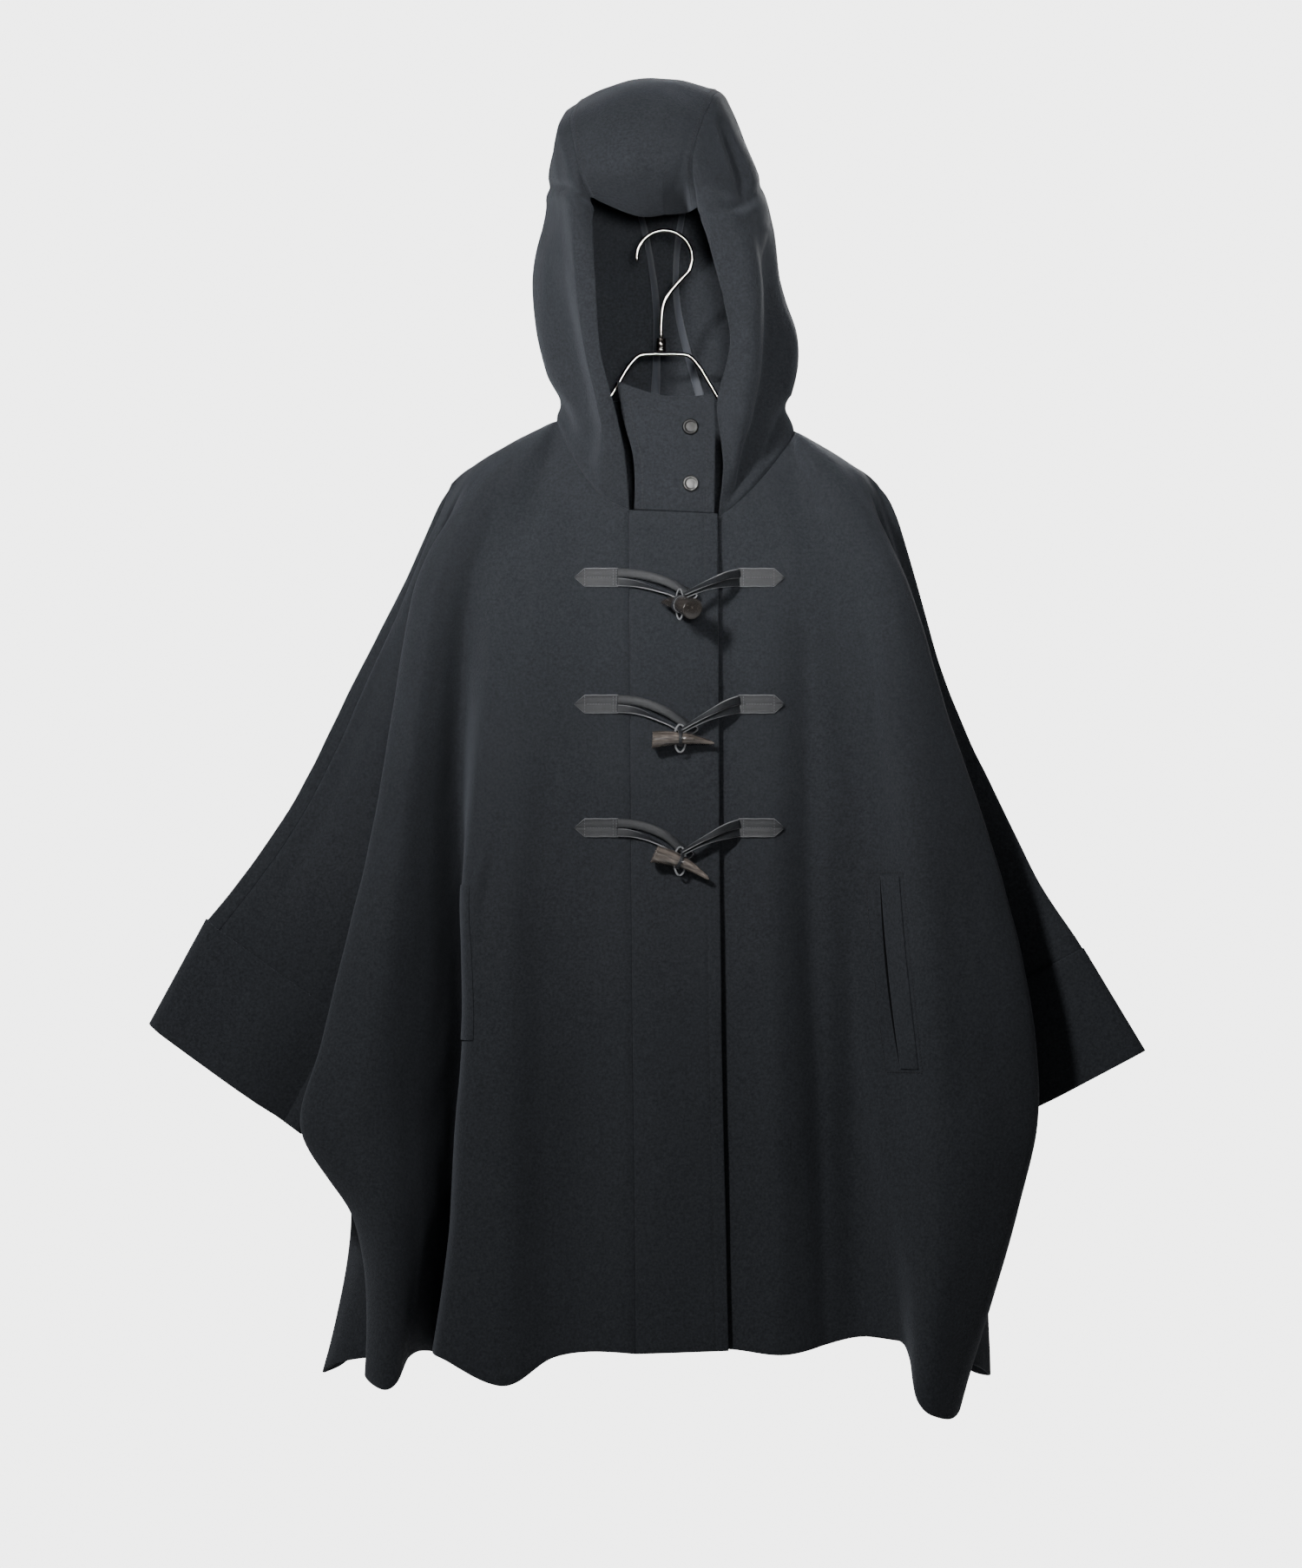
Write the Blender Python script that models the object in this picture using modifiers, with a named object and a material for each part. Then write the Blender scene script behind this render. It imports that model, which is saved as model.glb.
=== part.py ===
"""A hooded cape duffle coat hanging on a wire hanger.

Lengths in the tables are millimetres; meshes are made in metres. X runs across the
coat, Y from the front (negative) to the back, Z up. The origin is the inner top of the
hanger's hook, where the coat hangs. "Right" is the wearer's right, which is at -X.

Every cloth panel is a wall lofted through fold lines that run from the neck or the
shoulder down to the hem or the cuff. Neighbouring panels share the points of their
seam, so that their walls meet there with a small gap.
"""

import math
from collections import namedtuple

import bmesh
import bpy
from mathutils import Vector
from mathutils.bvhtree import BVHTree

MM = 0.001

# ---------------------------------------------------------------- driving dimensions
WALL = 2.6              # heavy wool melton
SKIVED = 0.35           # share of the wall left where front and back meet at a point
SKIVE_REACH = 26.0      # how far from such a point the wall is thinned
SEAM_SHIFT = 0.25       # how far each piece stays back from the line of its seam
LEATHER = 1.6           # thickness of the leather patches
LAID_ON = 0.4           # gap under a piece that lies on a panel

WIRE = 2.0              # radius of the hook's wire
YOKE_WIRE = 2.0         # radius of the yoke's wire
ARM = 5.0               # radius of the hanger's arms
HOOK_BOW = 25.5         # radius of the hook's bow, to the wire's centre
ARM_END = 181.0         # half width of the hanger
NECK_SIDE = 100.0       # half width where the shoulder line begins
NECK_SIDE_HEIGHT = -173.0
SHOULDER_SLOPE = 0.42
SHOULDER_CURVE = 0.0015
SHOULDER_ROLL = (18.0, 6.0)     # depth and drop of the cloth where it rolls over the arm

CUFF_DEPTH = 105.0
CUFF_STEP = 2.2         # how far the cuff stands proud of the sleeve
CUFF_FLARE = 0.35
UNDERARM_EASE = 10.0    # how far the cuff's inner end stays out of the underarm's corner
SLEEVE_FRONT_SWELL = -11.0
SLEEVE_BACK_SWELL = 15.0
FOLD_ROLL = (6.0, 15.0)     # how far a side fold turns in, and how deep the turn is

PLACKET_BULGE = -2.5
TOGGLE_HEIGHTS = (-319.0, -435.0, -548.0)

# Heights of the sections that all fold lines share between their top and the hem.
LEVELS = namedtuple("Levels", "chest waist hip underarm flare thigh")(
    -300.0, -450.0, -600.0, -742.0, -820.0, -910.0)
UNDERARM = 5            # index of the underarm among a fold line's points
DOWN_STEPS = (1, 2, 2, 2, 2, 2, 2, 2)

# Depth of the plain front and back at each level and at the hem, and the share of a
# fold's swing that it has there.
FRONT_DEPTH = (-56, -66, -72, -77, -79, -81, -84)
BACK_DEPTH = (44, 52, 58, 62, 64, 66, 68)
GROWTH = (0.0, 0.35, 0.75, 1.0, 1.0, 1.0, 1.0)

Fold = namedtuple("Fold", "name top chest waist hip underarm flare thigh hem hem_z swing early")

# Right front, from the placket's seam to the side. A top given as a number is a place
# on the shoulder seam.
RIGHT_FRONT = (
    Fold("placket_seam", (-32, -52, -257), -32, -31, -30, -29, -28, -27, -26, -1028, 0, 0),
    Fold("inner", (-60, -47, -242), -80, -102, -110, -110, -110, -108, -100, -1031, 0, 0),
    Fold("lobe", (-78, -38, -218), -108, -137, -145, -146, -148, -149, -145, -1056, -14, 0.1),
    Fold("crest", (-92, -22, -194), -146, -174, -178, -174, -180, -186, -203, -1031, -10, 0.1),
    Fold("neck", (-100, 0, -173), -170, -189, -191, -188, -195, -201, -212, -1031, 54, 0.1),
    Fold("slope", -115, -186, -208, -218, -224, -232, -226, -238, -1033, 30, 0.1),
    Fold("ridge", -132, -202, -228, -248, -272, -286, -258, -253, -1060, -8, 0.3),
    Fold("fold", -150, -217, -250, -278, -313, -333, -283, -274, -1048, 16, 0.9),
)
LEFT_FRONT = (
    Fold("under_edge", (-18, -44, -252), -20, -20, -20, -20, -20, -20, -20, -1023, 6.5, 1.0),
    Fold("near", (50, -46, -263), 53, 55, 57, 58, 59, 60, 60, -1024, 6.5, 1.0),
    Fold("pane", (68, -44, -250), 88, 104, 108, 110, 110, 110, 110, -1029, 2, 1.0),
    Fold("welt", (92, -34, -226), 120, 141, 147, 150, 151, 152, 153, -1020, 12, 0.3),
    Fold("valley", (110, -18, -202), 146, 166, 172, 174, 176, 176, 178, -1014, 26, 0.2),
    Fold("neck", (121, 0, -182.5), 166, 186, 197, 202, 206, 208, 218, -1018, 12, 0.2),
    Fold("ridge", 138, 188, 212, 236, 250, 256, 256, 240, -1081, -26, 0.2),
    Fold("tongue", 152, 202, 236, 272, 298, 304, 286, 258, -1086, -14, 0.3),
    Fold("fold", 164, 214, 262, 311, 339, 341, 320, 270, -1070, 18, 0.9),
)
# Back, from the right side to the left.
BACK = (
    Fold("fold_r", -150, -216, -246, -272, -290, -297, -291, -317, -1053, -22, 0.7),
    Fold("ridge_r", -132, -205, -232, -254, -270, -278, -276, -302, -1048, -8, 0.4),
    Fold("slope_r", -115, -192, -216, -236, -250, -258, -262, -284, -1036, -2, 0.3),
    Fold("neck_r", (-100, 0, -173), -176, -198, -214, -228, -236, -242, -258, -1030, -6, 0.2),
    Fold("crest_r", (-84, 18, -164), -146, -170, -184, -194, -200, -204, -214, -1028, 16, 0.2),
    Fold("valley_r", (-58, 36, -156), -98, -116, -128, -136, -140, -142, -146, -1018, -22, 0.2),
    Fold("nape_r", (-11, 48, -152), -40, -50, -58, -64, -68, -70, -74, -1028, 20, 0.2),
    Fold("centre", (12, 49, -152.5), 8, 6, 4, 4, 4, 4, 4, -1020, -4, 0.2),
    Fold("nape_l", (36, 47, -153), 60, 68, 74, 78, 80, 82, 84, -1028, 22, 0.2),
    Fold("valley_l", (78, 34, -161), 106, 120, 132, 140, 144, 146, 150, -1018, -20, 0.2),
    Fold("crest_l", (104, 18, -172), 150, 170, 188, 200, 206, 210, 216, -1026, 14, 0.2),
    Fold("neck_l", (121, 0, -182.5), 176, 196, 214, 226, 232, 240, 246, -1030, -6, 0.2),
    Fold("ridge_l", 138, 190, 212, 234, 250, 258, 262, 268, -1042, -2, 0.3),
    Fold("tongue_l", 152, 202, 228, 254, 270, 276, 280, 288, -1054, -8, 0.4),
    Fold("fold_l", 164, 212, 244, 270, 285, 292, 296, 302, -1056, -22, 0.7),
)

# The tuck between body and sleeve, which is the side seam below the underarm point.
Tuck = namedtuple("Tuck", "top chest waist hip underarm flare thigh hem")
RIGHT_TUCK_FRONT = Tuck(-174, (-211, -18), (-238, -24), (-252, -26), (-278, -4),
                        (-270, -8), (-255, -8), (-242, -8))
RIGHT_TUCK_BACK = RIGHT_TUCK_FRONT._replace(chest=(-209, 16), waist=(-233, 20), hip=(-250, 20))
LEFT_TUCK_FRONT = Tuck(181, (209, -16), (236, -22), (247, -24), (237, -4),
                       (252, -8), (262, -8), (258, -8))
LEFT_TUCK_BACK = LEFT_TUCK_FRONT._replace(chest=(206, 14), waist=(232, 18), hip=(245, 18))
SIDE_HEM_Z = -1034.0

# The outer edge of each hanging sleeve (x, z), and how far the overarm seam lies inside
# it at the same sections: in front of the edge on the right, behind it on the left.
Sleeve = namedtuple("Sleeve", "side edge seam_top seam seam_y mid_tops cuff_run")
RIGHT_SLEEVE = Sleeve(-1, ((-205, -247), (-221, -284), (-279, -398), (-351, -541), (-423, -638)),
                      -196, ((-203, -249), (-219, -288), (-271, -403), (-340, -547), (-413, -646)),
                      -8, (-182, -190), (-0.478, -0.878))
LEFT_SLEEVE = Sleeve(1, ((210, -250), (223, -288), (264, -424), (320, -546), (387, -664)),
                     197, ((207, -251), (220, -291), (257, -429), (312, -551), (379, -669)),
                     9, (187, 192), (0.515, -0.857))

# The hood: each row is an arch from the neck up its side to the seam of the centre
# strip; the arches run from the face opening to the nape.
Arch = namedtuple("Arch", "neck notch jaw cheek temple seam")
HOOD_RIGHT = (
    Arch((-32, -52, -257), (-33, -55, -238), (-38, -62, -195), (-58, -76, -110), (-63, -80, -40),
         (-66, -70, 27)),
    Arch((-60, -47, -242), (-58, -54, -228), (-58, -68, -190), (-76, -78, -105), (-82, -82, -30),
         (-77, -85, 50)),
    Arch((-78, -38, -218), (-75, -42, -204), (-74, -50, -175), (-90, -50, -95), (-98, -54, -8),
         (-86, -60, 93)),
    Arch((-92, -22, -194), (-88, -24, -178), (-96, -30, -145), (-110, -26, -75), (-107, -20, 18),
         (-82, -8, 119)),
    Arch((-100, 0, -173), (-94, 2, -154), (-107, 4, -124), (-121, 10, -52), (-105, 26, 32),
         (-70, 50, 114)),
    Arch((-84, 18, -164), (-84, 22, -148), (-98, 36, -118), (-108, 54, -55), (-86, 70, 8),
         (-38, 88, 60)),
    Arch((-58, 36, -156), (-60, 40, -146), (-70, 52, -128), (-70, 70, -98), (-48, 82, -60),
         (-14, 90, -30)),
    Arch((-11, 48, -152), (-11, 48.4, -150.8), (-11, 48.8, -149.6), (-11, 49.2, -148.4),
         (-11, 49.6, -147.2), (-11, 50, -146)),
)
HOOD_LEFT = (
    Arch((50, -46, -263), (51, -52, -244), (56, -62, -196), (66, -78, -100), (46, -80, -38),
         (30, -66, 18)),
    Arch((68, -44, -250), (68, -50, -234), (72, -66, -190), (82, -76, -100), (72, -84, -22),
         (26, -92, 58)),
    Arch((92, -34, -226), (88, -40, -212), (86, -50, -178), (92, -52, -90), (86, -56, 8),
         (36, -66, 98)),
    Arch((110, -18, -202), (104, -22, -188), (102, -30, -152), (97, -26, -66), (91, -22, 30),
         (50, -14, 130)),
    Arch((121, 0, -182.5), (113, 2, -163), (122, 8, -126), (112, 16, -58), (92, 26, 40),
         (54, 48, 118)),
    Arch((104, 18, -172), (102, 24, -156), (118, 38, -122), (110, 56, -68), (82, 72, 10),
         (30, 88, 62)),
    Arch((78, 34, -161), (78, 40, -150), (88, 54, -130), (82, 70, -102), (60, 82, -62),
         (14, 90, -30)),
    Arch((36, 47, -153), (36, 47.4, -151.8), (36, 47.8, -150.6), (36, 48.2, -149.4),
         (36, 48.6, -148.2), (36, 49, -147)),
)
HOOD_MIDDLE = ((-16, -62, 12), (-22, -97, 50), (-20, -78, 104), (-14, -12, 141), (-6, 56, 126),
               (-4, 96, 62), (0, 96, -30), (12, 52, -147.5))
NECK_STEPS = 2          # steps between two neighbouring fold lines at the neck
HOOD_UP_STEPS = (1, 2, 2, 2, 2)
STRIP_STEPS = 3

BINDING_WIDTH = 8.0
BINDING = 0.9           # thickness of the satin binding
BINDING_FROM = 9        # index of the strip's row where the bindings begin to show

# ---------------------------------------------------------------- smooth lines
def smooth(points, steps, corners=()):
    """Points along a smooth line through the given ones, with steps[i] steps in span i.

    Ends and corners leave their point freely; elsewhere the slope is the mean of the
    slopes beside it, weighted by the spans' lengths.
    """
    points = [Vector(p) for p in points]
    last = len(points) - 1
    spans = [max((b - a).length, 1e-6) for a, b in zip(points, points[1:])]
    slopes = [(b - a) / s for a, b, s in zip(points, points[1:], spans)]
    ends = {0, last} | set(corners)

    def slope_at(i):
        before, after = spans[i - 1], spans[i]
        return (slopes[i - 1] * after + slopes[i] * before) / (before + after)

    line = [points[0]]
    for i, (span, slope) in enumerate(zip(spans, slopes)):
        start = slope if i in ends else slope_at(i)
        stop = slope if i + 1 in ends else slope_at(i + 1)
        if i in ends:
            start = slope * 1.5 - stop * 0.5
        if i + 1 in ends:
            stop = slope * 1.5 - start * 0.5
        for k in range(1, steps[i] + 1):
            f = k / steps[i]
            g = 1.0 - f
            line.append(points[i] * (g * g * (1 + 2 * f)) + points[i + 1] * (f * f * (1 + 2 * g))
                        + (start * g - stop * f) * (f * g * span))
    return line


def shoulder(x):
    """Point of the shoulder seam at x; the seam lies along the hanger's arm."""
    reach = abs(x) - NECK_SIDE
    return Vector((x, 0, NECK_SIDE_HEIGHT - SHOULDER_SLOPE * reach - SHOULDER_CURVE * reach ** 2))


# ---------------------------------------------------------------- fold lines of the body
def roll_point(top, chest, facing):
    """The point just below the shoulder seam, where the cloth rolls over the arm."""
    if top.y == 0:
        depth, drop = SHOULDER_ROLL
        x = top.x + (chest.x - top.x) * 0.12
        return Vector((x, facing * depth, shoulder(x).z - drop))
    return top.lerp(chest, 0.25)


def body_line(fold, depths, facing):
    top = shoulder(fold.top) if isinstance(fold.top, (int, float)) else Vector(fold.top)
    xs = fold[2:9]
    heights = LEVELS + (fold.hem_z,)
    points = []
    for x, z, depth, growth in zip(xs, heights, depths, GROWTH):
        share = fold.early + (1 - fold.early) * growth
        points.append(Vector((x, depth + fold.swing * share, z)))
    return [top, roll_point(top, points[0], facing)] + points


def lip_line(line, top_x, facing, side):
    """The turn of a side fold, just behind its edge."""
    turn, deep = FOLD_ROLL
    points = [p + Vector((-side * turn, -facing * deep, 0)) for p in line]
    points[0] = shoulder(top_x)
    points[1] = roll_point(points[0], line[2], facing)
    points[2] = line[2] + Vector((-side * 2, -facing * 8, 0))
    points[-1].z += 6
    return points


def tuck_line(tuck, facing):
    top = shoulder(tuck.top)
    points = [Vector((x, y, z)) for (x, y), z in zip(tuck[1:], LEVELS + (SIDE_HEM_Z,))]
    roll = roll_point(top, points[0], facing)
    roll.y *= 0.9
    return [top, roll] + points


def sleeve_lines(sleeve, tuck):
    """The edge, the overarm seam, and two lines between the seam and each tuck."""
    seam = [shoulder(sleeve.seam_top)]
    edge = [shoulder(sleeve.mid_tops[-1]).lerp(seam[0], 0.5)]
    for k, ((x, z), (ex, ez)) in enumerate(zip(sleeve.seam, sleeve.edge)):
        seam.append(Vector((x, sleeve.seam_y * (0.4 if k == 0 else 1.0), z)))
        edge.append(Vector((ex, -sleeve.seam_y * 0.2, ez)))

    def between(tuck_points, swell):
        lines = []
        for n, top_x in enumerate(sleeve.mid_tops):
            share = (n + 1) / 3
            line = [shoulder(top_x)]
            for k in range(1, UNDERARM + 1):
                point = tuck_points[k].lerp(seam[k], share)
                point.y += swell * math.sin(math.pi * share) * (0.35 if k == 1 else 0.8 + 0.05 * k)
                line.append(point)
            lines.append(line)
        return lines

    return seam, edge, between


def loft(lines, first_body, last_body, steps, corners, tucks):
    """Rows of points across fold lines; only body lines go on below the underarm."""
    columns = []
    for index, line in enumerate(lines):
        breaks = (UNDERARM,) if index in tucks else ()
        columns.append(smooth(line, DOWN_STEPS[:len(line) - 1], breaks))
    upper = sum(DOWN_STEPS[:UNDERARM])
    missing_before = sum(steps[:first_body])
    missing_after = sum(steps[last_body:])
    rows = []
    for i in range(sum(DOWN_STEPS) + 1):
        if i <= upper:
            across = [column[i] for column in columns]
            rows.append(smooth(across, steps, corners if i == 0 else ()))
        else:
            across = [column[i] for column in columns[first_body:last_body + 1]]
            row = smooth(across, steps[first_body:last_body])
            rows.append([None] * missing_before + row + [None] * missing_after)
    lay_on_shoulder(rows[0], lines, steps)
    return rows


def lay_on_shoulder(row, lines, steps):
    """Put the top row's points of the shoulder spans exactly on the shoulder seam."""
    start = 0
    for line, following, count in zip(lines, lines[1:], steps):
        a, b = line[0], following[0]
        if a.y == 0 and b.y == 0:
            for k in range(count + 1):
                row[start + k] = shoulder(a.x + (b.x - a.x) * k / count)
        start += count


Body = namedtuple("Body", "front_right back front_left upper")


def body_rows():
    upper = sum(DOWN_STEPS[:UNDERARM])
    front_r = [body_line(fold, FRONT_DEPTH, -1) for fold in RIGHT_FRONT]
    front_l = [body_line(fold, FRONT_DEPTH, -1) for fold in LEFT_FRONT]
    back = [body_line(fold, BACK_DEPTH, 1) for fold in BACK]

    tuck_fr, tuck_br = tuck_line(RIGHT_TUCK_FRONT, -1), tuck_line(RIGHT_TUCK_BACK, 1)
    tuck_fl, tuck_bl = tuck_line(LEFT_TUCK_FRONT, -1), tuck_line(LEFT_TUCK_BACK, 1)
    seam_r, edge_r, between_r = sleeve_lines(RIGHT_SLEEVE, tuck_fr)
    seam_l, edge_l, between_l = sleeve_lines(LEFT_SLEEVE, tuck_fl)

    lip_fr = lip_line(front_r[-1], -162, -1, -1)
    lip_fl = lip_line(front_l[-1], 173, -1, 1)
    lip_br = lip_line(back[0], -162, 1, -1)
    lip_bl = lip_line(back[-1], 173, 1, 1)

    n = NECK_STEPS
    lines = front_r + [lip_fr, tuck_fr] + between_r(tuck_fr, SLEEVE_FRONT_SWELL) + [seam_r]
    steps = [n, n, n, n, 2, 2, 2, 1, 3, 2, 2, 2]
    rows_fr = loft(lines, 0, 9, steps, (4,), (9,))

    lines = ([seam_r, edge_r] + between_r(tuck_br, SLEEVE_BACK_SWELL)[::-1] + [tuck_br, lip_br]
             + back + [lip_bl, tuck_bl] + between_l(tuck_bl, SLEEVE_BACK_SWELL) + [seam_l])
    steps = [1, 1, 2, 2, 3, 1, 2, 2, 2, n, n, n, STRIP_STEPS, STRIP_STEPS, n, n, n, 2, 2, 2, 1, 3,
             2, 2, 2]
    rows_b = loft(lines, 4, 22, steps, (9, 17), (4, 22))

    lines = ([seam_l, edge_l] + between_l(tuck_fl, SLEEVE_FRONT_SWELL)[::-1] + [tuck_fl, lip_fl]
             + front_l[::-1])
    steps = [1, 1, 2, 2, 3, 1, 2, 2, 2, n, n, n, n, n]
    rows_fl = loft(lines, 4, 14, steps, (9,), (4,))
    return Body(rows_fr, rows_b, rows_fl, upper)


def placket_rows(front_right):
    """The band over the opening: it starts at the right front's edge and floats free."""
    rows = []
    count = len(front_right) - 1
    for i, row in enumerate(front_right):
        seam = row[0]
        share = i / count
        right = 49.0 + 10.0 * share ** 2
        drop = -3.5 * (1 - share) + 3.0 * share
        line = []
        for k, bulge in ((0, 0.0), (1, 0.7), (2, 1.0), (3, 1.0), (4, 0.6)):
            x = seam.x + (right - seam.x) * k / 4
            line.append(Vector((x, seam.y + PLACKET_BULGE * bulge, seam.z + drop * k / 4)))
        rows.append(line[::-1])
    return rows


def tab_rows():
    """The chin stand: a flat tab that rises from the placket's top."""
    Course = namedtuple("Course", "left left_z right right_z depth")
    courses = (
        Course(-41, -139, 46, -163, -47),
        Course(-38, -165, 47, -184, -50),
        Course(-29, -205, 46.5, -218, -53),
        Course(-27.5, -256.5, 46, -260, -54),
    )
    rows = []
    for c in courses:
        line = []
        for k in range(5):
            f = k / 4
            sag = -9.0 * math.sin(math.pi * f) if c is courses[0] else 0.0
            line.append(Vector((c.left + (c.right - c.left) * f, c.depth - 2.0 * math.sin(math.pi * f),
                                c.left_z + (c.right_z - c.left_z) * f + sag)))
        rows.append(line[::-1])
    return rows


# ---------------------------------------------------------------- hood
def side_rows(arches, neck_row):
    """Rows of a hood side from the strip's seam down to the neck."""
    steps = [NECK_STEPS] * (len(arches) - 1)
    courses = []
    for field in ("seam", "temple", "cheek", "jaw", "notch", "neck"):
        courses.append(smooth([getattr(arch, field) for arch in arches], steps))
    columns = [smooth(points, HOOD_UP_STEPS[::-1]) for points in zip(*courses)]
    rows = [list(row) for row in zip(*columns)]
    rows[-1] = list(neck_row)
    return rows


def strip_rows(right, left, neck_row):
    """Rows of the centre strip, from the brow over the crown to the nape."""
    middle = smooth(HOOD_MIDDLE, [NECK_STEPS] * (len(HOOD_MIDDLE) - 1))
    rows = [smooth(points, (STRIP_STEPS, STRIP_STEPS)) for points in zip(right, middle, left)]
    rows.append(list(neck_row))
    return rows


# ---------------------------------------------------------------- walls
def cells(rows, closed=False):
    """Corner indices of each quad of a grid, in outward order."""
    found = []
    width = len(rows[0])
    for i in range(len(rows) - 1):
        for j in range(width if closed else width - 1):
            k = (j + 1) % width
            quad = ((i, j), (i, k), (i + 1, k), (i + 1, j))
            if all(rows[a][b] is not None for a, b in quad):
                found.append(quad)
    return found


def key(point):
    return (round(point.x * 50), round(point.y * 50), round(point.z * 50))


def surface_normals(grids):
    """Normals at every point of the grids, shared wherever panels meet.

    Each quad counts by the angle of its corner, so that large quads don't tilt a seam.
    """
    sums = {}
    for rows, closed in grids:
        for quad in cells(rows, closed):
            corners = [rows[i][j] for i, j in quad]
            normal = (corners[2] - corners[0]).cross(corners[3] - corners[1]).normalized()
            for n, point in enumerate(corners):
                back, ahead = corners[n - 1] - point, corners[(n + 1) % 4] - point
                angle = back.angle(ahead, 0.0)
                sums[key(point)] = sums.get(key(point), Vector()) + normal * angle
    return {place: total.normalized() for place, total in sums.items()}


def wall(name, rows, normals, finish, outside=0.0, inside=WALL, closed=False, shift=SEAM_SHIFT,
         layers=None, pinches=()):
    """A closed cloth wall on a grid of points, drawn back a little along its border.

    Where another of the layers comes close behind it, and round the points where front
    and back meet, the wall is thinner.
    """
    quads = cells(rows, closed)
    sides = set()
    around = {}
    for quad in quads:
        centre = sum((rows[i][j] for i, j in quad), Vector()) / 4
        for a, b in zip(quad, quad[1:] + quad[:1]):
            sides.add((a, b))
            around.setdefault(a, []).append(centre)
    border = [(a, b) for a, b in sides if (b, a) not in sides]
    on_border = {a for a, _ in border} | {b for _, b in border}

    mesh = bmesh.new()
    outer, inner = {}, {}
    for place, centres in around.items():
        point = rows[place[0]][place[1]]
        normal = normals[key(point)]
        if place in on_border and shift:
            inward = sum(centres, Vector()) / len(centres) - point
            inward -= normal * inward.dot(normal)
            point = point + inward.normalized() * shift
        depth = inside
        if layers:
            _, _, _, gap = layers.ray_cast(point - normal * 0.1, -normal, 2 * inside + 1.0)
            if gap is not None:
                depth = max(0.4, min(inside, gap / 2 - 0.3))
            near = min((point - pinch).length for pinch in pinches)
            depth = min(depth, inside * min(1.0, SKIVED + (1 - SKIVED) * near / SKIVE_REACH))
        outer[place] = mesh.verts.new((point + normal * outside) * MM)
        inner[place] = mesh.verts.new((point - normal * depth) * MM)
    for a, b, c, d in quads:
        for corners in ((a, b, c), (a, c, d)):
            mesh.faces.new([outer[p] for p in corners])
            mesh.faces.new([inner[p] for p in reversed(corners)])
    for a, b in border:
        # Both panels of a seam split its side faces the same way.
        if key(rows[a[0]][a[1]]) < key(rows[b[0]][b[1]]):
            split = ((outer[b], outer[a], inner[b]), (outer[a], inner[a], inner[b]))
        else:
            split = ((outer[b], outer[a], inner[a]), (outer[b], inner[a], inner[b]))
        for corners in split:
            mesh.faces.new(corners)
    return add_mesh(name, mesh, finish)


# ---------------------------------------------------------------- objects and finishes
def finish(name, colour, roughness, metallic=0.0):
    material = bpy.data.materials.new(name)
    material.use_nodes = True
    shader = material.node_tree.nodes["Principled BSDF"]
    shader.inputs["Base Color"].default_value = (*colour, 1.0)
    shader.inputs["Roughness"].default_value = roughness
    shader.inputs["Metallic"].default_value = metallic
    return material


def keep(obj, material):
    obj.data.materials.clear()
    obj.data.materials.append(material)
    for collection in list(obj.users_collection):
        collection.objects.unlink(obj)
    bpy.data.collections["Coat on hanger"].objects.link(obj)
    return obj


def add_mesh(name, mesh, material):
    data = bpy.data.meshes.new(name)
    mesh.to_mesh(data)
    mesh.free()
    obj = bpy.data.objects.new(name, data)
    bpy.context.scene.collection.objects.link(obj)
    return keep(obj, material)


def add_tube(name, points, radius, material, sides=2, radii=None):
    """A round wire or strap along a line of points."""
    curve = bpy.data.curves.new(name, "CURVE")
    curve.dimensions = "3D"
    curve.bevel_depth = radius * MM
    curve.bevel_resolution = sides
    curve.use_fill_caps = True
    spline = curve.splines.new("POLY")
    spline.points.add(len(points) - 1)
    for n, point in enumerate(points):
        spline.points[n].co = (*(Vector(point) * MM), 1.0)
        spline.points[n].radius = radii[n] if radii else 1.0
    obj = bpy.data.objects.new(name, curve)
    bpy.context.scene.collection.objects.link(obj)
    return keep(obj, material)


# ---------------------------------------------------------------- pieces on the panels
class Panel:
    """A panel's outer face, on which other pieces are laid."""

    def __init__(self, *grids):
        points, faces = [], []
        for rows in grids:
            start = {}
            for quad in cells(rows):
                for place in quad:
                    if place not in start:
                        start[place] = len(points)
                        points.append(rows[place[0]][place[1]])
                a, b, c, d = (start[place] for place in quad)
                faces += [(a, b, c), (a, c, d)]
        self.tree = BVHTree.FromPolygons(points, faces)

    def at(self, x, z):
        """Point and outward normal where a line along Y meets the panel's front."""
        point, normal, _, _ = self.tree.ray_cast(Vector((x, -300, z)), Vector((0, 1, 0)))
        return point, normal if normal.y < 0 else -normal

    def nearest_face(self, x, z, reach=4.0):
        """Point at (x, z), as far forward as the panel comes within reach of it."""
        steps = (-reach, 0.0, reach)
        front = min(self.at(x + a, z + b)[0].y for a in steps for b in steps)
        return Vector((x, front, z))


def laid_piece(name, panel, outline, thickness, material, lift=LAID_ON):
    """A flat piece laid on a panel; outline rows are (x, half height, middle height)."""
    rows = []
    for x, half, z in outline:
        rows.append([panel.nearest_face(x, z + half * f) for f in (1.0, 0.0, -1.0)])
    grid = [list(row) for row in zip(*rows)]
    if outline[0][0] > outline[-1][0]:
        grid = [row[::-1] for row in grid]
    grid = [row[::-1] for row in grid]
    normals = surface_normals([(grid, False)])
    return wall(name, grid, normals, material, outside=lift + thickness, inside=-lift, shift=0)


def add_patches(panel, leather):
    """The pointed leather patches: those of the loops on the right, the cords' on the left."""
    Patch = namedtuple("Patch", "side tip end")
    for number, z in enumerate(TOGGLE_HEIGHTS, 1):
        for patch in (Patch("loop", -82, -42), Patch("cord", 110, 68)):
            way = 1 if patch.end > patch.tip else -1
            outline = [(patch.tip, 0.8, z), (patch.tip + 9 * way, 8.7, z),
                       (patch.tip + 24 * way, 8.5, z), (patch.end, 8.4, z)]
            laid_piece(f"toggle_{number}_{patch.side}_patch", panel, outline, LEATHER, leather)


Toggle = namedtuple("Toggle", "butt tip waist loop_end bend")


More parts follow.
